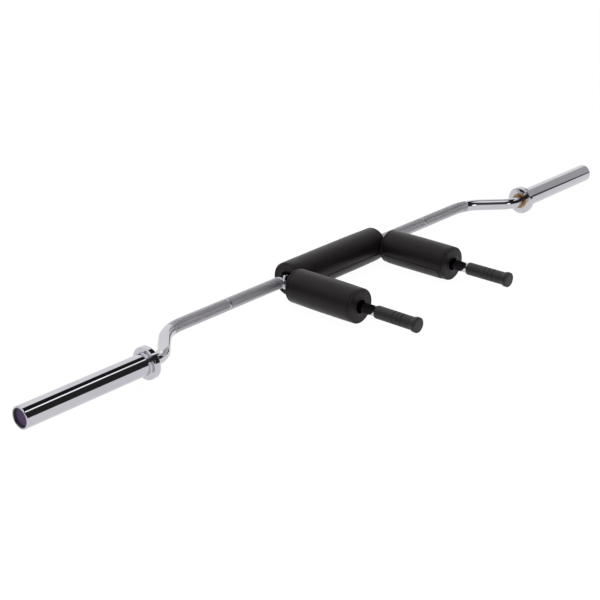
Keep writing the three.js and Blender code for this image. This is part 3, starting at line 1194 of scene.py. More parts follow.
@dataclass
class BarShaft:
    """The bent bar: a polished middle, two knurled stretches with a ring mark each, polished
    double bends, and a turned journal at each end."""

    places: Places
    tree: bpy.types.NodeTree
    radius: float = 0.015
    bend_angle: float = math.radians(45)
    inner_bend: float = 0.115
    outer_bend: float = 0.060
    run_out: float = 0.0115
    shoulder_gap: float = 0.0031
    journal_radius: float = 0.014
    journal_length: float = 0.330
    journal_round: float = 0.001
    groove_radius: float = 0.0126
    groove_width: float = 0.0026
    lip: float = 0.003
    knurl_start: float = 0.200
    knurl_end: float = 0.567
    knurl_depth: float = 0.00028
    knurl_row: float = 0.00139
    ring_mark: float = 0.376
    ring_half_width: float = 0.003
    ring_depth: float = 0.0004
    knurl_columns: int = 118
    smooth_columns: int = 96
    bend_step: float = 0.0025
    arc_steps: int = 90

    @property
    def shoulder_x(self) -> float:
        """Where the bar ends and its journal starts."""
        return self.places.collar_x - self.shoulder_gap

    @property
    def half_length(self) -> float:
        """The centre line's length from the middle of the bar to the shoulder."""
        return self._half_run()[-1][2]

    def _half_run(self) -> list[tuple[float, float, float]]:
        """Walks the centre line from the middle of the bar to the right shoulder.

        Returns:
            (x, y, length so far) at the ends of straights and along the bends.
        """
        sine, cosine = math.sin(self.bend_angle), math.cos(self.bend_angle)
        drop = -self.places.sleeve_y - (self.inner_bend + self.outer_bend) * (1 - cosine)
        outer_end = self.shoulder_x - self.run_out
        slope = drop / sine
        inner_start = outer_end - (self.inner_bend + self.outer_bend) * sine - slope * cosine
        run = [(0.0, 0.0, 0.0)]
        for step in range(self.arc_steps + 1):
            angle = self.bend_angle * step / self.arc_steps
            x = inner_start + self.inner_bend * math.sin(angle)
            y = -self.inner_bend * (1 - math.cos(angle))
            run.append((x, y, inner_start + self.inner_bend * angle))
        bend_end = run[-1][2] + slope
        for step in range(self.arc_steps + 1):
            angle = self.bend_angle * (1 - step / self.arc_steps)
            x = outer_end - self.outer_bend * math.sin(angle)
            y = self.places.sleeve_y + self.outer_bend * (1 - math.cos(angle))
            run.append((x, y, bend_end + self.outer_bend * (self.bend_angle - angle)))
        run.append((self.shoulder_x, self.places.sleeve_y, run[-1][2] + self.run_out))
        return run

    def _centre_line(self) -> bpy.types.Mesh:
        """Makes the whole centre line, from one journal's end to the other's.

        Returns:
            A mesh of points and edges.
        """
        right = [(x, y) for x, y, _ in self._half_run()]
        right.append((self.shoulder_x + self.journal_length, self.places.sleeve_y))
        left = [(-x, y) for x, y in reversed(right[1:])]
        points = [(x, y, self.places.axis_height) for x, y in left + right]
        line = bpy.data.meshes.new("centre_line")
        line.from_pydata(points, [(i, i + 1) for i in range(len(points) - 1)], [])
        return line

    def _swept(
        self, name: str, outline: Sequence[tuple[float, float, float]], columns: int
    ) -> bpy.types.Mesh:
        """Sweeps one stretch of the bar.

        Args:
            name: the mesh's name.
            outline: (along, radius, knurled) points from one end's middle to the other's.
            columns: how many columns go round.

        Returns:
            The stretch as a closed mesh.
        """
        profile = bpy.data.meshes.new(name)
        profile.from_pydata(outline, [], [])
        holder = bpy.data.objects.new(name, profile)
        values = {"Outline": holder, "Columns": columns, "Knurl Depth": self.knurl_depth}
        mesh = run_tree(name, self.tree, self._centre_line(), values)
        bpy.data.objects.remove(holder)
        return face_outwards(mesh)

    def _knurled(self, start: float, end: float) -> list[tuple[float, float, float]]:
        """Outlines a knurled stretch between two places along the bar."""
        rows = 2 * round((end - start) / self.knurl_row / 2)
        body = [(start + (end - start) * row / rows, self.radius, 1.0) for row in range(rows + 1)]
        return [(start, 0.0, 0.0), *body, (end, 0.0, 0.0)]

    def _plain(self, start: float, end: float, radius: float) -> list[tuple[float, float, float]]:
        """Outlines a smooth stretch between two places along the bar."""
        rows = max(1, round((end - start) / self.bend_step))
        body = [(start + (end - start) * row / rows, radius, 0.0) for row in range(rows + 1)]
        return [(start, 0.0, 0.0), *body, (end, 0.0, 0.0)]

    def _end(self) -> list[tuple[float, float, float]]:
        """Outlines one polished end: the double bend, the shoulder and the grooved journal."""
        shoulder = self.half_length
        tip = shoulder + self.journal_length
        groove_end = tip - self.lip
        groove_start = groove_end - self.groove_width
        corners = [
            Turn(shoulder - self.journal_round * 2, self.radius),
            Turn(shoulder, self.radius, self.journal_round),
            Turn(shoulder, self.journal_radius),
            Turn(groove_start, self.journal_radius),
            Turn(groove_start, self.groove_radius),
            Turn(groove_end, self.groove_radius),
            Turn(groove_end, self.journal_radius),
            Turn(tip, self.journal_radius, self.journal_round),
            Turn(tip, 0.0),
            Turn(shoulder - self.journal_round * 2, 0.0),
        ]
        turned_end = [(along, radius, 0.0) for along, radius, _ in rounded_outline(corners)]
        bend = self._plain(self.knurl_end, shoulder - self.journal_round * 3, self.radius)
        return bend[:-1] + turned_end[:-1]

    def make(self, workshop: Workshop) -> None:
        """Builds the knurled and the polished stretches.

        Args:
            workshop: what fits the pieces.
        """
        mark_start = self.ring_mark - self.ring_half_width
        mark_end = self.ring_mark + self.ring_half_width
        knurled, smooth = [], [self._plain(-self.knurl_start, self.knurl_start, self.radius)]
        for start, end in ((self.knurl_start, mark_start), (mark_end, self.knurl_end)):
            knurled.append(self._knurled(start, end))
        smooth.append(self._plain(mark_start, mark_end, self.radius - self.ring_depth))
        smooth.append(self._end())
        mirrored = [[(-a, r, k) for a, r, k in reversed(line)] for line in knurled + smooth[1:]]
        fine = knurled + mirrored[: len(knurled)]
        plain = smooth + mirrored[len(knurled) :]
        for name, lines, columns, finish in (
            ("shaft_knurling", fine, self.knurl_columns, Finish.KNURLED),
            ("shaft_polished", plain, self.smooth_columns, Finish.CHROME),
        ):
            stretches = [self._swept("stretch", line, columns) for line in lines]
            workshop.fit(name, joined(name, stretches), Body.BAR, finish, ["bar_shaft"])


@dataclass
class PlateSleeve:
    """One plate sleeve with its collar, flanged bush, tip cap and bare label disc."""

    places: Places
    side: Side
    radius: float = 0.025
    bore: float = 0.017
    tip_bore: float = 0.0215
    tip_bore_depth: float = 0.0214
    tip_round: float = 0.0015
    tip_inner_round: float = 0.0006
    collar_radius: float = 0.0375
    collar_width: float = 0.017
    collar_chamfer: float = 0.0025
    collar_fillet: float = 0.0025
    edge_round: float = 0.0005
    flange_radius: float = 0.021
    flange: float = 0.0025
    bush_bore: float = 0.0142
    bush_length: float = 0.030
    gap: float = 0.0003
    cap_recess: float = 0.0055
    cap_thickness: float = 0.005
    cap_round: float = 0.001
    cap_rim: float = 0.004
    label_radius: float = 0.019
    label_thickness: float = 0.0008

    @property
    def place(self) -> Matrix:
        """Where the sleeve's axis starts, and that it runs outwards."""
        where = Vector((0.0, self.places.sleeve_y, self.places.axis_height))
        return laid(where + self.side.outward * self.places.collar_x, self.side.outward)

    @property
    def length(self) -> float:
        """From the collar's inner face to the tip."""
        return self.places.tip_x - self.places.collar_x

    def _tube(self) -> list[Turn]:
        """Outlines the sleeve itself."""
        floor = self.length - self.tip_bore_depth
        return [
            Turn(0.0, self.bore, self.edge_round),
            Turn(0.0, self.radius, self.edge_round),
            Turn(self.length, self.radius, self.tip_round),
            Turn(self.length, self.tip_bore, self.tip_inner_round),
            Turn(floor, self.tip_bore),
            Turn(floor, self.bore, self.edge_round),
        ]

    def _collar(self) -> list[Turn]:
        """Outlines the plate stop, with a chamfer each side and a fillet on the sleeve."""
        seat = self.radius
        chamfer = self.collar_chamfer
        return [
            Turn(0.0, seat),
            Turn(0.0, self.collar_radius - chamfer, self.edge_round),
            Turn(chamfer, self.collar_radius, self.edge_round),
            Turn(self.collar_width - chamfer, self.collar_radius, self.edge_round),
            Turn(self.collar_width, self.collar_radius - chamfer, self.edge_round),
            Turn(self.collar_width, seat + WELD_TOLERANCE, self.collar_fillet),
            Turn(self.collar_width + 2 * self.collar_fillet, seat + WELD_TOLERANCE),
            Turn(self.collar_width + 2 * self.collar_fillet, seat - self.gap),
            Turn(0.0, seat - self.gap),
        ]

    def _bush(self) -> list[Turn]:
        """Outlines the flanged bush, whose flange lies on the collar's inner face."""
        face = -self.flange - self.gap
        return [
            Turn(face + self.flange / 2, self.bush_bore, self.edge_round),
            Turn(face + self.flange / 2, self.flange_radius - self.flange, self.edge_round),
            Turn(face, self.flange_radius - self.flange, self.edge_round / 2),
            Turn(face, self.flange_radius, self.edge_round),
            Turn(-self.gap, self.flange_radius, self.edge_round),
            Turn(-self.gap, self.bore - self.gap),
            Turn(self.bush_length, self.bore - self.gap),
            Turn(self.bush_length, self.bush_bore),
        ]

    def _cap(self) -> list[Turn]:
        """Outlines the tip cap, with a low rim round the label."""
        face = self.length - self.cap_recess
        radius = self.tip_bore - self.gap
        rim = self.label_radius + self.gap
        return [
            Turn(face - self.cap_thickness, 0.0),
            Turn(face - self.cap_thickness, radius, self.cap_round),
            Turn(face + self.cap_rim, radius, self.edge_round),
            Turn(face + self.cap_rim, rim, self.edge_round),
            Turn(face, rim),
            Turn(face, 0.0),
        ]

    def _label(self) -> list[Turn]:
        """Outlines the bare disc on the cap."""
        under = self.length - self.cap_recess + self.gap
        top = under + self.label_thickness
        return [
            Turn(under, 0.0),
            Turn(under, self.label_radius),
            Turn(top, self.label_radius, self.label_thickness / 3),
            Turn(top, 0.0),
        ]

    def make(self, workshop: Workshop) -> None:
        """Builds the sleeve's pieces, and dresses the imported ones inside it.

        Args:
            workshop: what fits the pieces.
        """
        word = self.side.word
        body = Body[f"{self.side.name}_SLEEVE"]
        parts = (
            ("sleeve_barrel", self._tube(), Finish.CHROME, "sleeve_tube"),
            ("plate_stop", self._collar(), Finish.CHROME, "collar"),
            ("flanged_bush", self._bush(), Finish.BRONZE, "inner_bushing"),
            ("tip_cap", self._cap(), Finish.PLASTIC, "end_cap"),
            ("tip_disc", self._label(), Finish.LABEL, "cap_label"),
        )
        for piece, corners, finish, node in parts:
            name = f"{word}_{piece}"
            mesh = turned(name, corners, self.place)
            workshop.fit(name, mesh, body, finish, [f"{word}_{node}"])
        workshop.repaint(f"{word}_outer_bushing", Finish.BRONZE)
        workshop.repaint(f"{word}_thrust_washer", Finish.STEEL)
        workshop.repaint(f"{word}_snap_ring", Finish.STEEL)


@dataclass
class Arm:
    """One welded arm: a chromed tube coped to the bar, its weld bead and its rubber grip."""

    places: Places
    side: Side
    bead_tree: bpy.types.NodeTree
    bar_radius: float = 0.015
    radius: float = 0.013
    wall: float = 0.0025
    sunk: float = 0.0002
    bead_set_off: float = 0.0013
    bead_radius: float = 0.0038
    ripples: int = 14
    ripple_share: float = 0.10
    lump_share: float = 0.35
    bead_steps: int = 168
    bead_sides: int = 20
    sides: int = 96
    grip_radius: float = 0.0158
    grip_bore: float = 0.0133
    grip_end_wall: float = 0.004
    lip_round: float = 0.002
    lip_outer_round: float = 0.004
    groove_middles: tuple[float, ...] = (0.0529, 0.0649, 0.0769)
    groove_half: float = 0.0016
    groove_depth: float = 0.0011
    groove_round: float = 0.0005
    flare_length: float = 0.0155
    flare_rim: float = 0.007
    flare_radius: float = 0.0185
    flare_round: float = 0.002
    dome: float = 0.0008
    end_ring: float = 0.0145
    end_ring_depth: float = 0.0004

    @property
    def root(self) -> Vector:
        """Where the arm's axis meets the bar's."""
        return self.side.outward * self.places.arm_x + UP * self.places.axis_height

    def _tube(self, name: str) -> bpy.types.Mesh:
        """Builds the arm's tube, with its root shaped to the bar."""
        end = self.places.arm_end
        inner = self.radius - self.wall
        corners = [
            Turn(0.0, inner),
            Turn(0.0, self.radius),
            Turn(end, self.radius, self.wall / 4),
            Turn(end, inner, self.wall / 4),
        ]
        mesh = turned(name, corners, laid(self.root, FORWARD), self.sides)
        reach = self.bar_radius - self.sunk
        for vertex in mesh.vertices:
            if vertex.co.y > -self.bar_radius / 2:
                rise = vertex.co.z - self.places.axis_height
                vertex.co.y = -math.sqrt(max(0.0, reach**2 - rise**2))
        return mesh

    def _grip(self) -> list[Turn]:
        """Outlines the grip: a round lip, ring grooves, and a flared and domed closed end."""
        length = self.places.grip_end - self.places.grip_start - self.dome
        corners = [
            Turn(length - self.grip_end_wall, 0.0),
            Turn(length - self.grip_end_wall, self.grip_bore),
            Turn(0.0, self.grip_bore, self.lip_round / 4),
            Turn(0.0, self.grip_radius, self.lip_outer_round),
        ]
        floor = self.grip_radius - self.groove_depth
        for middle in self.groove_middles:
            outer, inner = self.groove_half, self.groove_half / 2
            corners += [
                Turn(middle - outer, self.grip_radius, self.groove_round),
                Turn(middle - inner, floor, self.groove_round),
                Turn(middle + inner, floor, self.groove_round),
                Turn(middle + outer, self.grip_radius, self.groove_round),
            ]
        rim_start = length - self.flare_rim
        return corners + [
            Turn(length - self.flare_length, self.grip_radius, self.flare_length / 4),
            Turn(rim_start - self.flare_round, self.flare_radius, self.flare_round),
            Turn(length, self.flare_radius, self.flare_round),
            Turn(length + self.dome / 3, self.end_ring, self.end_ring_depth),
            Turn(length - self.end_ring_depth, self.end_ring - self.end_ring_depth),
            Turn(length + self.dome / 3, self.end_ring - 3 * self.end_ring_depth, self.lip_round),
            Turn(length + self.dome, 0.0),
        ]

    def make(self, workshop: Workshop) -> None:
        """Builds the arm's pieces.

        Args:
            workshop: what fits the pieces.
        """
        word = self.side.word
        name = f"{word}_arm"
        workshop.fit(name, self._tube(name), Body.BAR, Finish.CHROME, [f"{word}_arm_tube"])
        values = {
            "Root": tuple(self.root),
            "Arm Radius": self.radius,
            "Bar Radius": self.bar_radius,
            "Set Off": self.bead_set_off,
            "Bead Radius": self.bead_radius,
            "Ripples": self.ripples,
            "Ripple Share": self.ripple_share,
            "Lump Share": self.lump_share,
            "Steps": self.bead_steps,
            "Sides": self.bead_sides,
            "Seed": 3.0 + self.side.value,
        }
        bead = run_tree("bead", self.bead_tree, bpy.data.meshes.new("bead"), values)
        workshop.fit(f"{word}_arm_bead", bead, Body.BAR, Finish.CHROME, [f"{word}_arm_weld"])
        start = laid(self.root + FORWARD * self.places.grip_start, FORWARD)
        name = f"{word}_hand_grip"
        grip = turned(name, self._grip(), start, self.sides, steps=4)
        workshop.fit(name, grip, Body.BAR, Finish.RUBBER, [f"{word}_grip"])


@dataclass
class RollerPad:
    """A foam roller in a sewn vinyl cover: a side panel with a closure flap, and two end discs
    with a welt round the edge and a hemmed hole for the bar or arm."""

    name: str
    node: str
    middle: Vector
    axis: Vector
    flap_side: Vector
    half_length: float
    core_radius: float
    hole_radius: float
    far_rise: float
    seed: int
    stitch_tree: bpy.types.NodeTree
    radius: float = 0.0435
    crown: float = 0.0008
    edge_radius: float = 0.004
    seam_width: float = 0.0024
    seam_depth: float = 0.0010
    seam_spread: float = 0.0007
    welt_height: float = 0.0007
    welt_angle: float = math.radians(42)
    welt_spread: float = math.radians(24)
    disc_seam_depth: float = 0.0009
    hem_width: float = 0.0045
    hem_height: float = 0.0010
    near_rise: float = -0.002
    thickness: float = 0.0016
    columns: int = 256
    side_step: float = 0.0045
    fine_step: float = 0.0004
    edge_steps: int = 16
    disc_step: float = 0.0009
    stitch_pitch: float = 0.0042
    stitch_length: float = 0.0030
    thread_radius: float = 0.00028
    pucker_depth: float = 0.00022
    pucker_reach: float = 0.005
    pucker_share: float = 0.3
    pucker_turns: int = 5
    sag_depth: float = 0.00035
    sag_waves: int = 9
    sag_run: float = 55.0
    hem_folds: int = 5
    # how pale the rounded end rims are marked: wear, and partly a painted highlight along the welt
    edge_worn: float = 0.8
    slack: float = 0.0015
    sack_sides: int = 64
    voxel: float = 0.005
    pressure: float = 4.0
    stretch_stiffness: float = 12.0
    bend_stiffness: float = 0.8
    frames: int = 20
    move_cap: float = 0.006
    evening_passes: int = 6
    foam_hollow: float = 0.008
    flap_width: float = 0.034
    flap_thickness: float = 0.0009
    flap_inset: float = 0.013
    flap_tilt: float = math.radians(-36)
    flap_gap: float = 0.0001
    flap_round_steps: int = 5
    flap_width_steps: int = 13
    flap_corner: float = 0.006
    flap_corner_pull: float = 0.16
    flap_end_reach: float = 0.0015
    flap_end_share: float = 0.55
    flap_stitch_inset: float = 0.0032
    rest_blend: float = 0.0004
    sack_relief: np.ndarray = field(default_factory=lambda: np.zeros(0))

    @property
    def end_radius(self) -> float:
        """The side panel's radius at its end seams."""
        return self.radius - self.crown

    @property
    def seam_along(self) -> float:
        """How far from the pad's middle its end seams lie."""
        return self.half_length - self.edge_radius - self.seam_width / 2

    def _angles(self) -> np.ndarray:
        """The columns' angles round the axis, from the flap's side upwards."""
        return np.linspace(0.0, 2 * math.pi, self.columns, endpoint=False)

    @property
    def disc_radius(self) -> float:
        """The radius where an end disc starts to round into the side."""
        return self.end_radius - self.edge_radius

    def _disc(self, radii: np.ndarray, rise: float) -> np.ndarray:
        """Gives how far along the axis an end disc's face lies, domed by its rise.

        Args:
            radii: distances from the axis.
            rise: how far the disc stands out at its hole.

        Returns:
            The distances from the pad's middle.
        """
        share = np.clip((self.disc_radius - radii) / (self.disc_radius - self.hole_radius), 0, 1)
        return self.half_length + rise * np.sin(share * math.pi / 2)

    def _outer_rows(self, rise: float) -> tuple[np.ndarray, np.ndarray]:
        """Outlines the cover from the middle of its side to the edge of its hole.

        Args:
            rise: how far the end disc stands out at its hole.

        Returns:
            The distances along the axis, and the radii.
        """
        edge_start = self.half_length - self.edge_radius
        plain_end = self.seam_along - 4 * self.seam_spread
        side = np.linspace(0.0, plain_end, round(plain_end / self.side_step) + 1)[:-1]
        fine = np.arange(plain_end, edge_start, self.fine_step)
        along = np.concatenate([side, fine])
        radii = self.radius - self.crown * (along / edge_start) ** 2
        radii = radii - self.seam_depth * np.exp(-(((along - self.seam_along) / self.seam_spread) ** 2))
        turn = np.linspace(math.pi / 2, 0.0, self.edge_steps + 1)
        welt = self.welt_height * np.exp(-(((turn - self.welt_angle) / self.welt_spread) ** 2))
        edge_along = edge_start + (self.edge_radius + welt) * np.cos(turn)
        edge_radii = self.disc_radius + (self.edge_radius + welt) * np.sin(turn)
        disc_count = round((self.disc_radius - self.hole_radius) / self.disc_step)
        disc = np.linspace(self.disc_radius, self.hole_radius + self.fine_step, disc_count + 1)[1:]
        crease = np.exp(-(((disc - self.disc_radius) / self.seam_spread + 1) ** 2))
        hem = 1 / (1 + np.exp((disc - self.hole_radius - self.hem_width) / self.fine_step))
        disc_along = self._disc(disc, rise) + self.hem_height * hem - self.disc_seam_depth * crease
        lip = self.half_length + rise + self.hem_height
        lip_along = np.array([lip - 0.0002, lip - 0.0007, lip - self.thickness])
        lip_radii = np.array([self.hole_radius + 0.0001, self.hole_radius, self.hole_radius])
        return (
            np.concatenate([along, edge_along, disc_along, lip_along]),
            np.concatenate([radii, edge_radii, disc, lip_radii]),
        )

    def _inner_rows(self, rise: float) -> tuple[np.ndarray, np.ndarray]:
        """Outlines the cover's inside from the edge of its hole to its side, as _outer_rows."""
        disc = np.linspace(self.hole_radius, self.disc_radius - self.thickness, 6)
        wall = self.end_radius - self.seam_depth - self.thickness
        along = np.append(self._disc(disc, rise), self.half_length - self.edge_radius)
        return along - self.thickness, np.append(disc, wall)

    def _place(self, along: np.ndarray, radii: np.ndarray, angles: np.ndarray) -> np.ndarray:
        """Turns places round the pad's axis into points, pressed flat on the floor.

        Args:
            along: distances along the axis.
            radii: distances from the axis.
            angles: angles from the flap's side upwards.

        Returns:
            The points, with their coordinates last.
        """
        level = np.array(self.flap_side)
        spoke = np.cos(angles)[..., None] * level + np.sin(angles)[..., None] * np.array(UP)
        points = np.array(self.middle) + along[..., None] * np.array(self.axis)
        points = points + radii[..., None] * spoke
        height, blend = points[..., 2], self.rest_blend
        eased = (np.clip(height, -blend, blend) + blend) ** 2 / (4 * blend)
        points[..., 2] = np.where(height > blend, height, eased)
        return points

    def _simulated(self) -> np.ndarray:
        """Blows up a plain sack, slightly smaller than the cover, as cloth.

        The cloth moves by 0.05 mm at most. The rest is the remeshed sack's own unevenness.

        Returns:
            How uneven the sack's radius is, by place along the side and by column.
        """
        small = self.radius - self.slack
        corners = [
            Turn(-self.half_length, 0.0),
            Turn(-self.half_length, small, self.edge_radius),
            Turn(self.half_length, small, self.edge_radius),
            Turn(self.half_length, 0.0),
        ]
        form = turned("form", corners, Matrix.Identity(4), self.sack_sides)
        sack = placed("sack", form)
        remesh = sack.modifiers.new("cells", "REMESH")
        remesh.mode, remesh.voxel_size = "VOXEL", self.voxel
        sack.data = evaluated(sack)
        sack.modifiers.clear()
        rest = np.array([vertex.co for vertex in sack.data.vertices])
        sewn = sack.vertex_groups.new(name="sewn")
        limit = self.half_length - self.edge_radius - self.seam_width
        sewn.add([i for i, point in enumerate(rest) if abs(point[0]) > limit], 1.0, "REPLACE")
        cloth = sack.modifiers.new("padding", "CLOTH").settings
        cloth.use_pressure, cloth.uniform_pressure_force = True, self.pressure
        cloth.effector_weights.gravity = 0.0
        cloth.vertex_group_mass = sewn.name
        cloth.tension_stiffness = cloth.compression_stiffness = self.stretch_stiffness
        cloth.bending_stiffness = self.bend_stiffness
        for number in range(1, self.frames + 1):
            bpy.context.scene.frame_set(number)
        blown = evaluated(sack)
        bpy.context.scene.frame_set(1)
        moved = np.array([vertex.co for vertex in blown.vertices]) - rest
        size = np.maximum(np.linalg.norm(moved, axis=1, keepdims=True), WELD_TOLERANCE)
        moved = moved * np.minimum(1.0, self.move_cap / size)
        tree = BVHTree.FromPolygons(
            [Vector(point) for point in rest + moved],
            [tuple(face.vertices) for face in blown.polygons],
        )
        bpy.data.objects.remove(sack)
        return self._read_radii(tree)

    def _read_radii(self, tree: BVHTree) -> np.ndarray:
        """Reads the blown-up cloth's radius from its axis outwards, evened over its cells.

        Args:
            tree: the cloth.

        Returns:
            Radii by place along the side and by column, less their mean.
        """
        places = np.linspace(-self.seam_along, self.seam_along, self.columns // 2 + 1)
        radii = np.full((len(places), self.columns), self.radius)
        for row, along in enumerate(places):
            for column, angle in enumerate(self._angles()):
                way = Vector((0.0, math.cos(angle), math.sin(angle)))
                hit = tree.ray_cast(Vector((along, 0.0, 0.0)), way)
                if hit[0] is not None:
                    radii[row, column] = hit[3]
        for _ in range(self.evening_passes):
            radii = (np.roll(radii, 1, axis=1) + 2 * radii + np.roll(radii, -1, axis=1)) / 4
            radii[1:-1] = (radii[:-2] + 2 * radii[1:-1] + radii[2:]) / 4
        return radii - radii.mean()

    def _sack_height(self, along: np.ndarray, angles: np.ndarray) -> np.ndarray:
        """Gives the sack's unevenness at places on the side panel."""
        if not self.sack_relief.size:
            return np.zeros(np.broadcast(along, angles).shape)
        rows = len(self.sack_relief) - 1
        share = np.clip((along / self.seam_along + 1) / 2, 0.0, 1.0) * rows
        row = np.minimum(share.astype(int), rows - 1)
        column = np.round(angles / (2 * math.pi) * self.columns).astype(int) % self.columns
        part = share - row
        here, there = self.sack_relief[row, column], self.sack_relief[row + 1, column]
        return here * (1 - part) + there * part

    def _relief(self, along: np.ndarray, angles: np.ndarray) -> np.ndarray:
        """Gives how far the side panel stands out or in: sack, slack waves and puckers.

        Args:
            along: distances along the axis.
            angles: angles round the axis.

        Returns:
            The distances, in metres.
        """
        rng = np.random.default_rng(self.seed)
        on_side = 1 / (1 + np.exp((np.abs(along) - self.seam_along) / self.fine_step))
        waves = np.zeros(np.broadcast(along, angles).shape)
        for _ in range(self.sag_waves):
            turns, run = rng.integers(2, 9), rng.uniform(-self.sag_run, self.sag_run)
            waves = waves + np.cos(turns * angles + run * along + rng.uniform(0, 2 * math.pi))
        stitches = round(math.pi * self.end_radius / self.stitch_pitch)
        reach = np.abs(np.abs(along) - self.seam_along) / self.pucker_reach
        patchy = np.cos(self.pucker_turns * angles + self.seed)
        uneven = 1 - self.pucker_share + self.pucker_share * patchy
        puckers = -self.pucker_depth * np.exp(-reach) * uneven * (1 + np.cos(stitches * angles)) / 2
        sag = waves * self.sag_depth / self.sag_waves
        return on_side * (self._sack_height(along, angles) + sag) + puckers

    def _cover(self) -> bpy.types.Mesh:
        """Builds the cover as one closed shell.

        Returns:
            The mesh.
        """
        near, near_sizes = self._outer_rows(self.near_rise)
        far, far_sizes = self._outer_rows(self.far_rise)
        near_back, near_back_sizes = self._inner_rows(self.near_rise)
        far_back, far_back_sizes = self._inner_rows(self.far_rise)
        outer_along = np.concatenate([-near[:0:-1], far])
        outer_radii = np.concatenate([near_sizes[:0:-1], far_sizes])
        rows = np.concatenate([outer_along, far_back, -near_back[::-1]])
        sizes = np.concatenate([outer_radii, far_back_sizes, near_back_sizes[::-1]])
        angles = self._angles()[None, :]
        shape = np.repeat(sizes[:, None], self.columns, axis=1)
        outside = len(outer_along)
        on_skin = sizes[:outside, None] > self.disc_radius
        shape[:outside] += np.where(on_skin, self._relief(outer_along[:, None], angles), 0.0)
        places = np.repeat(rows[:, None], self.columns, axis=1)
        places[:outside] += self._gathers(outer_along[:, None], outer_radii[:, None], angles)
        points = self._place(places, shape, np.repeat(angles, len(rows), axis=0))
        count, wide = shape.shape
        faces = grid_faces(count, wide, closed=True)
        mesh = close_mesh(self.name, points.reshape(-1, 3).tolist(), faces)
        # The rounded end rims take the paler worn colour, partly wear and partly a painted highlight
        # along the welt.
        worn = np.zeros(count)
        off = np.hypot(np.abs(outer_along) - self.half_length, outer_radii - self.end_radius)
        worn[:outside] = np.where(off < self.edge_radius * 2 / 3, self.edge_worn, 0.0)
        mark(mesh, WEAR, "FLOAT", np.repeat(worn, wide))
        return mesh

    def _gathers(self, along: np.ndarray, radii: np.ndarray, angles: np.ndarray) -> np.ndarray:
        """Gives the small folds that an end disc's hem gathers round its hole."""
        rng = np.random.default_rng(self.seed + 40)
        near = np.exp(-(((radii - self.hole_radius) / (2 * self.hem_width)) ** 2))
        folds = np.zeros(np.broadcast(along, angles).shape)
        for _ in range(self.hem_folds):
            folds = folds + np.cos(rng.integers(7, 19) * angles + rng.uniform(0, 2 * math.pi))
        inside = radii <= self.disc_radius
        return np.where(inside, np.sign(along) * near * folds * self.hem_height / 12, 0.0)

    def _foam(self) -> list[Turn]:
        """Outlines the foam roller inside the cover."""
        bore = self.core_radius + self.flap_gap
        back = 2 * self.thickness
        hollow = self.hole_radius + self.flap_gap
        middle = (hollow + self.disc_radius) / 2
        side = self.end_radius - self.seam_depth - back
        ends = []
        for rise in (self.far_rise, self.near_rise):
            floor = self.half_length + rise - self.foam_hollow
            shoulder = self.half_length - self.edge_radius - back
            face = [(radius, self._disc(radius, rise) - back) for radius in (hollow, middle)]
            ends.append(
                [
                    Turn(floor, bore, self.thickness),
                    Turn(floor, hollow, self.thickness),
                    *(Turn(float(along), radius, self.thickness) for radius, along in face),
                    Turn(shoulder, side, self.thickness),
                ]
            )
        far, near = ends
        return far + [Turn(-turn.along, turn.radius, turn.rounding) for turn in reversed(near)]

    def _skin_radius(self, along: np.ndarray, angles: np.ndarray) -> np.ndarray:
        """Gives the side panel's radius at places on it."""
        crowned = self.radius - self.crown * (along / (self.half_length - self.edge_radius)) ** 2
        return crowned + self._relief(along, angles)

    def _flap(self) -> bpy.types.Mesh:
        """Builds the closure flap, a strip that lies on the side panel.

        Returns:
            The mesh.
        """
        half = self.half_length - self.flap_inset
        spread = self.flap_width / 2 / self.radius
        turn = np.linspace(-math.pi / 2, math.pi / 2, self.flap_round_steps)
        bulge = self.flap_thickness / 2
        across = np.linspace(-spread, spread, self.flap_width_steps)
        edge = bulge * np.cos(turn) / self.radius
        lift = bulge * np.sin(turn)
        under = np.full(len(across), -bulge)
        strip = np.concatenate([across, spread + edge, across[::-1], -spread - edge[::-1]])
        rise = np.concatenate([under, lift, -under, lift[::-1]])
        count = round(2 * half / self.side_step) + 1
        along = np.linspace(-half, half, count)[:, None]
        inwards = half - np.abs(along)
        corner = np.clip(inwards / self.flap_corner, 0.0, 1.0)
        narrowed = 1 - self.flap_corner_pull * (1 - np.sqrt(corner * (2 - corner)))
        angles = self.flap_tilt + strip[None, :] * narrowed
        full = np.clip(inwards / self.flap_end_reach, 0.0, 1.0)
        thin = self.flap_end_share + (1 - self.flap_end_share) * full
        radii = self._skin_radius(along, angles) + self.flap_gap + bulge + rise[None, :] * thin
        points = self._place(np.broadcast_to(along, radii.shape), radii, angles)
        rows, wide = radii.shape
        ends = [list(reversed(range(wide))), list(range((rows - 1) * wide, rows * wide))]
        faces = ends + grid_faces(rows, wide, closed=False)
        mesh = close_mesh(f"{self.name}_flap", points.reshape(-1, 3).tolist(), faces)
        return face_outwards(mesh, weld=True)

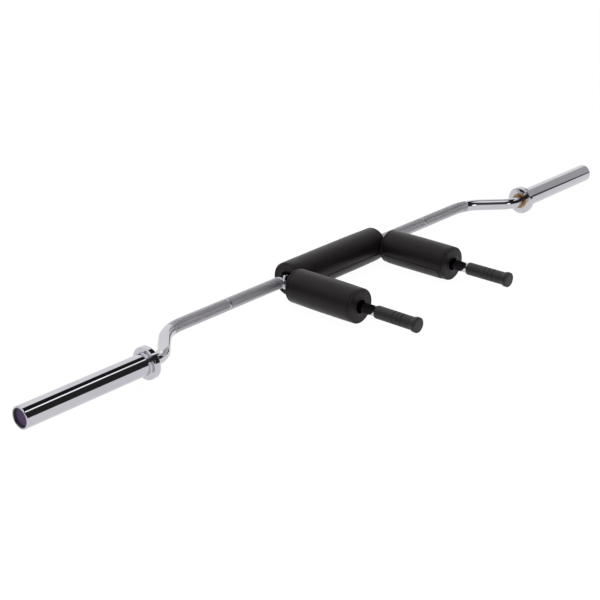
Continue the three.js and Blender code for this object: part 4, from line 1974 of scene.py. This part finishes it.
    def _stitch_points(self) -> bpy.types.Mesh:
        """Places the stitches of the end seams, the hems and the flap.

        Returns:
            A mesh of points, each with the way that its surface faces and its seam runs.
        """
        along, radii, angles, ways = [], [], [], []
        count = round(2 * math.pi * self.end_radius / self.stitch_pitch)
        ring = np.linspace(0.0, 2 * math.pi, count, endpoint=False)
        for end in (-1, 1):
            places = np.full(count, end * self.seam_along)
            floor = self._skin_radius(places, ring) - self.seam_depth + self.thread_radius
            along.append(places)
            radii.append(floor)
            angles.append(ring)
            ways.append(np.zeros(count))
        half = self.half_length - self.flap_inset - self.flap_stitch_inset
        rows = round(2 * half / self.stitch_pitch)
        run = np.linspace(-half, half, rows)
        spread = (self.flap_width / 2 - self.flap_stitch_inset) / self.radius
        for edge in (-1, 1):
            turn = np.full(rows, self.flap_tilt + edge * spread)
            top = self._skin_radius(run, turn) + self.flap_gap + self.flap_thickness
            along.append(run)
            radii.append(top)
            angles.append(turn)
            ways.append(np.ones(rows))
        flat = [np.concatenate(part) for part in (along, radii, angles, ways)]
        points = self._place(*flat[:3])
        level, up = np.array(self.flap_side), np.array(UP)
        cosine, sine = np.cos(flat[2])[:, None], np.sin(flat[2])[:, None]
        facing = cosine * level + sine * up
        round_way = cosine * up - sine * level
        heading = np.where(flat[3][:, None] > 0.5, np.array(self.axis), round_way)
        held = points[:, 2] > 4 * self.thread_radius
        mesh = bpy.data.meshes.new("stitches")
        mesh.from_pydata(points[held].tolist(), [], [])
        mark(mesh, FACING, "FLOAT_VECTOR", facing[held])
        mark(mesh, HEADING, "FLOAT_VECTOR", heading[held])
        return mesh

    def make(self, workshop: Workshop) -> None:
        """Builds the pad's pieces, whose side panel takes the sack's unevenness.

        Args:
            workshop: what fits the pieces.
        """
        self.sack_relief = self._simulated()
        uneven = 1000 * np.ptp(self.sack_relief)
        log.info("%s: sack uneven by %.2f mm", self.name, uneven)
        place = laid(self.middle, self.axis)
        cover = self._cover()
        workshop.fit(
            f"{self.name}_cover", cover, Body.BAR, Finish.VINYL, [f"{self.node}_cover"]
        )
        foam = turned("foam", self._foam(), place, 96)
        workshop.fit(
            f"{self.name}_roller", foam, Body.BAR, Finish.FOAM, [f"{self.node}_foam"]
        )
        flap = self._flap()
        workshop.fit(f"{self.name}_closure", flap, Body.BAR, Finish.VINYL, [f"{self.node}_flap"])
        values = {
            "Stitch Length": self.stitch_length,
            "Thread Radius": self.thread_radius,
            "Unevenness": 0.2,
            "Seed": self.seed,
        }
        threads = run_tree("threads", self.stitch_tree, self._stitch_points(), values)
        workshop.fit(f"{self.name}_stitching", threads, Body.BAR, Finish.VINYL)


@dataclass(frozen=True)
class Card:
    """A lamp panel, or a black or grey flag, of the studio as the chrome sees it from afar.

    Its middle and half sizes are angles in degrees, from straight ahead of the arms towards
    the bar's right end, and above the floor. Its tone is its brightness, and its lean is how
    much it rises for each degree of turn.
    """

    turn: float
    rise: float
    half_turn: float
    half_rise: float
    soft: float
    tone: float
    lean: float = 0.0


@dataclass(frozen=True)
class Lamp:
    """A soft square lamp that is turned to the middle of the bar, its power in watts."""

    name: str
    place: tuple[float, float, float]
    size: float
    power: float
    colour: Colour = WHITE


@dataclass
class Studio:
    """The camera, the white floor, the soft lamps and the panels that the chrome reflects."""

    focal_length: float = 82.203
    sensor: float = 36.0
    eye: Vector = field(default_factory=lambda: Vector((-2.4558, -2.1045, 1.2863)))
    azimuth: float = math.radians(-47.97)
    elevation: float = math.radians(22.664)
    roll: float = math.radians(-0.525)
    floor_half: float = 30.0
    floor_drop: float = 0.0002
    floor_glow: float = 0.97
    floor_catch: Colour = (0.06, 0.06, 0.06)
    floor_plain: Colour = (0.7, 0.7, 0.7)
    diffuse_level: float = 0.5
    back_turn: float = 160.0
    back_edge: float = 62.0
    back_full: float = 45.0
    back_low: float = -5.0
    back_high: float = 45.0
    back_tone: float = 1.16
    lamps: tuple[Lamp, ...] = (
        Lamp("overhead_lamp", (0.2, 0.9, 2.8), size=2.4, power=26.0),
        Lamp("front_lamp", (-1.6, -2.6, 1.3), size=1.6, power=16.0, colour=(1.0, 0.86, 0.74)),
    )
    cards: tuple[Card, ...] = (
        Card(turn=82, rise=25, half_turn=25, half_rise=16, soft=4, tone=0.544),
        Card(turn=5, rise=80, half_turn=62, half_rise=15, soft=5, tone=1.28),
        Card(turn=40, rise=57, half_turn=78, half_rise=8.5, soft=3, tone=0.016),
        Card(turn=22, rise=28, half_turn=35, half_rise=24, soft=3, tone=0.028),
        Card(turn=-38, rise=36, half_turn=26, half_rise=20, soft=5, tone=0.08),
        Card(turn=-72, rise=14, half_turn=27, half_rise=22, soft=5, tone=0.032),
        Card(turn=-9, rise=19, half_turn=6, half_rise=8, soft=2, tone=2.64),
        Card(turn=57, rise=49.5, half_turn=9, half_rise=2.6, soft=1, tone=2),
        Card(turn=97, rise=41, half_turn=18, half_rise=3, soft=1, tone=1.6),
        Card(turn=39, rise=0, half_turn=15, half_rise=7, soft=3, tone=0.024),
        Card(turn=55.6, rise=5, half_turn=5, half_rise=7, soft=2, tone=0.024, lean=-5),
        Card(turn=-143, rise=12, half_turn=19, half_rise=12, soft=3, tone=0.08),
    )

    def _camera(self) -> None:
        """Places the camera, whose roll turns it about its own line of sight."""
        back = Vector(
            (
                math.sin(self.azimuth) * math.cos(self.elevation),
                -math.cos(self.azimuth) * math.cos(self.elevation),
                math.sin(self.elevation),
            )
        )
        right = UP.cross(back).normalized()
        down = -back.cross(right)
        cosine, sine = math.cos(self.roll), math.sin(self.roll)
        level = cosine * right - sine * down
        upright = -(sine * right + cosine * down)
        view = Matrix((level, upright, back)).transposed().to_4x4()
        lens = bpy.data.cameras.new("camera")
        lens.lens, lens.sensor_width = self.focal_length, self.sensor
        lens.clip_start, lens.clip_end = 0.05, 100.0
        camera = placed("camera", lens)
        camera.matrix_world = Matrix.Translation(self.eye) @ view
        bpy.context.scene.camera = camera

    @staticmethod
    def _card_group() -> bpy.types.NodeTree:
        """The group that lays one soft-edged panel over the surroundings.

        Returns:
            The group, which gives a Tone.
        """
        names = ("Turn", "Rise", "At Turn", "At Rise", "Half Turn", "Half Rise", "Soft", "Lean")
        recipe = Recipe(
            "Studio card",
            "ShaderNodeTree",
            {**{name: "float" for name in names}, "Own Tone": "float", "Behind": "float"},
            {"Tone": "float"},
        )
        given = recipe.inputs
        off_turn = recipe.math("SUBTRACT", given["Turn"], given["At Turn"])
        off_turn = recipe.math("WRAP", off_turn, 180.0, -180.0)
        middle = recipe.math("MULTIPLY_ADD", off_turn, given["Lean"], given["At Rise"])
        off_rise = recipe.math("SUBTRACT", given["Rise"], middle)
        masks = []
        for way, off in (("Turn", off_turn), ("Rise", off_rise)):
            past = recipe.math("SUBTRACT", recipe.math("ABSOLUTE", off), given[f"Half {way}"])
            share = recipe.math("DIVIDE", past, given["Soft"])
            masks.append(recipe.ranged(share, 1.0, -1.0))
        mask = recipe.math("MULTIPLY", *masks)
        return recipe.give(tone=recipe.blended(mask, given["Behind"], given["Own Tone"]))

    def _world(self) -> None:
        """Surrounds the bar with white, which the panels cover for all but the camera's rays.

        Camera and transmission rays see plain white. Glossy rays see the panels before white,
        and diffuse rays see the same panels before a dimmer level.
        """
        world = bpy.data.worlds.new("studio")
        world.use_nodes = True
        bpy.context.scene.world = world
        wires = Wiring(world.node_tree)
        world.node_tree.nodes.clear()
        way = wires.add("ShaderNodeTexCoord").outputs["Generated"]
        x, y, z = wires.add("ShaderNodeSeparateXYZ", {0: way}).outputs
        ahead = wires.math("MULTIPLY", y, -1.0)
        turn = wires.math("DEGREES", wires.math("ARCTAN2", x, ahead))
        rise = wires.math("DEGREES", wires.math("ARCSINE", z))
        off = wires.math("WRAP", wires.math("SUBTRACT", turn, self.back_turn), 180.0, -180.0)
        behind = wires.ranged(wires.math("ABSOLUTE", off), self.back_edge, self.back_full)
        path = wires.add("ShaderNodeLightPath").outputs
        base = wires.blended(path["Is Glossy Ray"], self.diffuse_level, 1.0)
        back = wires.ranged(rise, self.back_low, self.back_high, 1.0, self.back_tone)
        tone = wires.blended(behind, base, back)
        group = self._card_group()
        for card in self.cards:
            values = {
                "Turn": turn,
                "Rise": rise,
                "At Turn": card.turn,
                "At Rise": card.rise,
                "Half Turn": card.half_turn,
                "Half Rise": card.half_rise,
                "Soft": card.soft,
                "Lean": card.lean,
                "Own Tone": card.tone,
                "Behind": tone,
            }
            tone = wires.add("ShaderNodeGroup", values, node_tree=group).outputs["Tone"]
        seen = wires.math("MAXIMUM", path["Is Camera Ray"], path["Is Transmission Ray"])
        level = wires.blended(seen, tone, 1.0)
        light = wires.add("ShaderNodeBackground", {"Color": rgba(WHITE), "Strength": level})
        end = wires.add("ShaderNodeOutputWorld", {"Surface": light.outputs[0]})
        end.is_active_output = True

    def _floor(self) -> None:
        """Lays a floor that is white to the camera and in the chrome, and keeps a faint shadow."""
        half = self.floor_half
        drop = -self.floor_drop
        corners = [(-half, -half, drop), (half, -half, drop), (half, half, drop), (-half, half, drop)]
        mesh = bpy.data.meshes.new("floor")
        mesh.from_pydata(corners, [], [(0, 1, 2, 3)])
        material = bpy.data.materials.new("white_floor")
        material.use_nodes = True
        material.node_tree.nodes.clear()
        wires = Wiring(material.node_tree)
        path = wires.add("ShaderNodeLightPath").outputs
        glow = wires.result("ShaderNodeEmission", {"Strength": self.floor_glow})
        catch = wires.result("ShaderNodeBsdfDiffuse", {"Color": rgba(self.floor_catch)})
        shown = wires.result("ShaderNodeAddShader", {0: glow, 1: catch})
        plain = wires.result("ShaderNodeBsdfDiffuse", {"Color": rgba(self.floor_plain)})
        direct = wires.math("MAXIMUM", path["Is Camera Ray"], path["Is Transmission Ray"])
        direct = wires.math("MAXIMUM", direct, path["Is Glossy Ray"])
        mixed = wires.result("ShaderNodeMixShader", {0: direct, 1: plain, 2: shown})
        wires.add("ShaderNodeOutputMaterial", {"Surface": mixed})
        mesh.materials.append(material)
        placed("floor", mesh)

    @staticmethod
    def _hang(lamp: Lamp) -> None:
        """Hangs a lamp, which neither the camera nor a reflection shows."""
        light = bpy.data.lights.new(lamp.name, "AREA")
        light.size, light.energy, light.color = lamp.size, lamp.power, lamp.colour
        place = Vector(lamp.place)
        hung = placed(lamp.name, light)
        facing = place.to_track_quat("Z", "Y").to_matrix().to_4x4()
        hung.matrix_world = Matrix.Translation(place) @ facing
        hung.visible_glossy = False
        hung.visible_camera = False

    def make(self) -> None:
        """Sets up the camera, the surroundings, the floor and the lamps."""
        bpy.context.scene.view_settings.view_transform = "Standard"
        self._camera()
        self._world()
        self._floor()
        for lamp in self.lamps:
            self._hang(lamp)
        counts = len(self.cards), len(self.lamps)
        log.info("studio: camera, floor, %d panels and %d lamps", *counts)


def roller_pads(places: Places, stitches: bpy.types.NodeTree) -> list[RollerPad]:
    """Lists the three pads.

    Args:
        places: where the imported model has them.
        stitches: the tree that sews them.

    Returns:
        The neck pad and the two shoulder pads.
    """
    neck = RollerPad(
        name="neck",
        node="neck_pad",
        middle=UP * places.axis_height,
        axis=ALONG_BAR,
        flap_side=FORWARD,
        half_length=places.neck_half,
        core_radius=0.015,
        hole_radius=0.021,
        far_rise=-0.002,
        seed=11,
        stitch_tree=stitches,
    )
    pads = [neck]
    half = (places.pad_end - PACKED_DOME - places.pad_start) / 2
    for side in Side:
        along = FORWARD * (places.pad_start + half)
        pads.append(
            RollerPad(
                name=f"{side.word}_shoulder",
                node=f"{side.word}_shoulder_pad",
                middle=side.outward * places.arm_x + along + UP * places.axis_height,
                axis=FORWARD,
                flap_side=-side.outward,
                half_length=half,
                core_radius=0.013,
                hole_radius=0.0165,
                far_rise=0.001,
                seed=20 + side.value,
                stitch_tree=stitches,
            )
        )
    return pads


def main() -> None:
    """Builds the bar piece by piece, and the studio round it."""
    logging.basicConfig(level=logging.INFO, format="%(message)s")
    places = Places.from_frame()
    workshop = Workshop()
    Studio().make()
    BarShaft(places, sweep_tree()).make(workshop)
    bead = bead_tree()
    for side in Side:
        PlateSleeve(places, side).make(workshop)
        Arm(places, side, bead).make(workshop)
    for pad in roller_pads(places, stitch_tree()):
        pad.make(workshop)


if __name__ == "__main__":
    main()
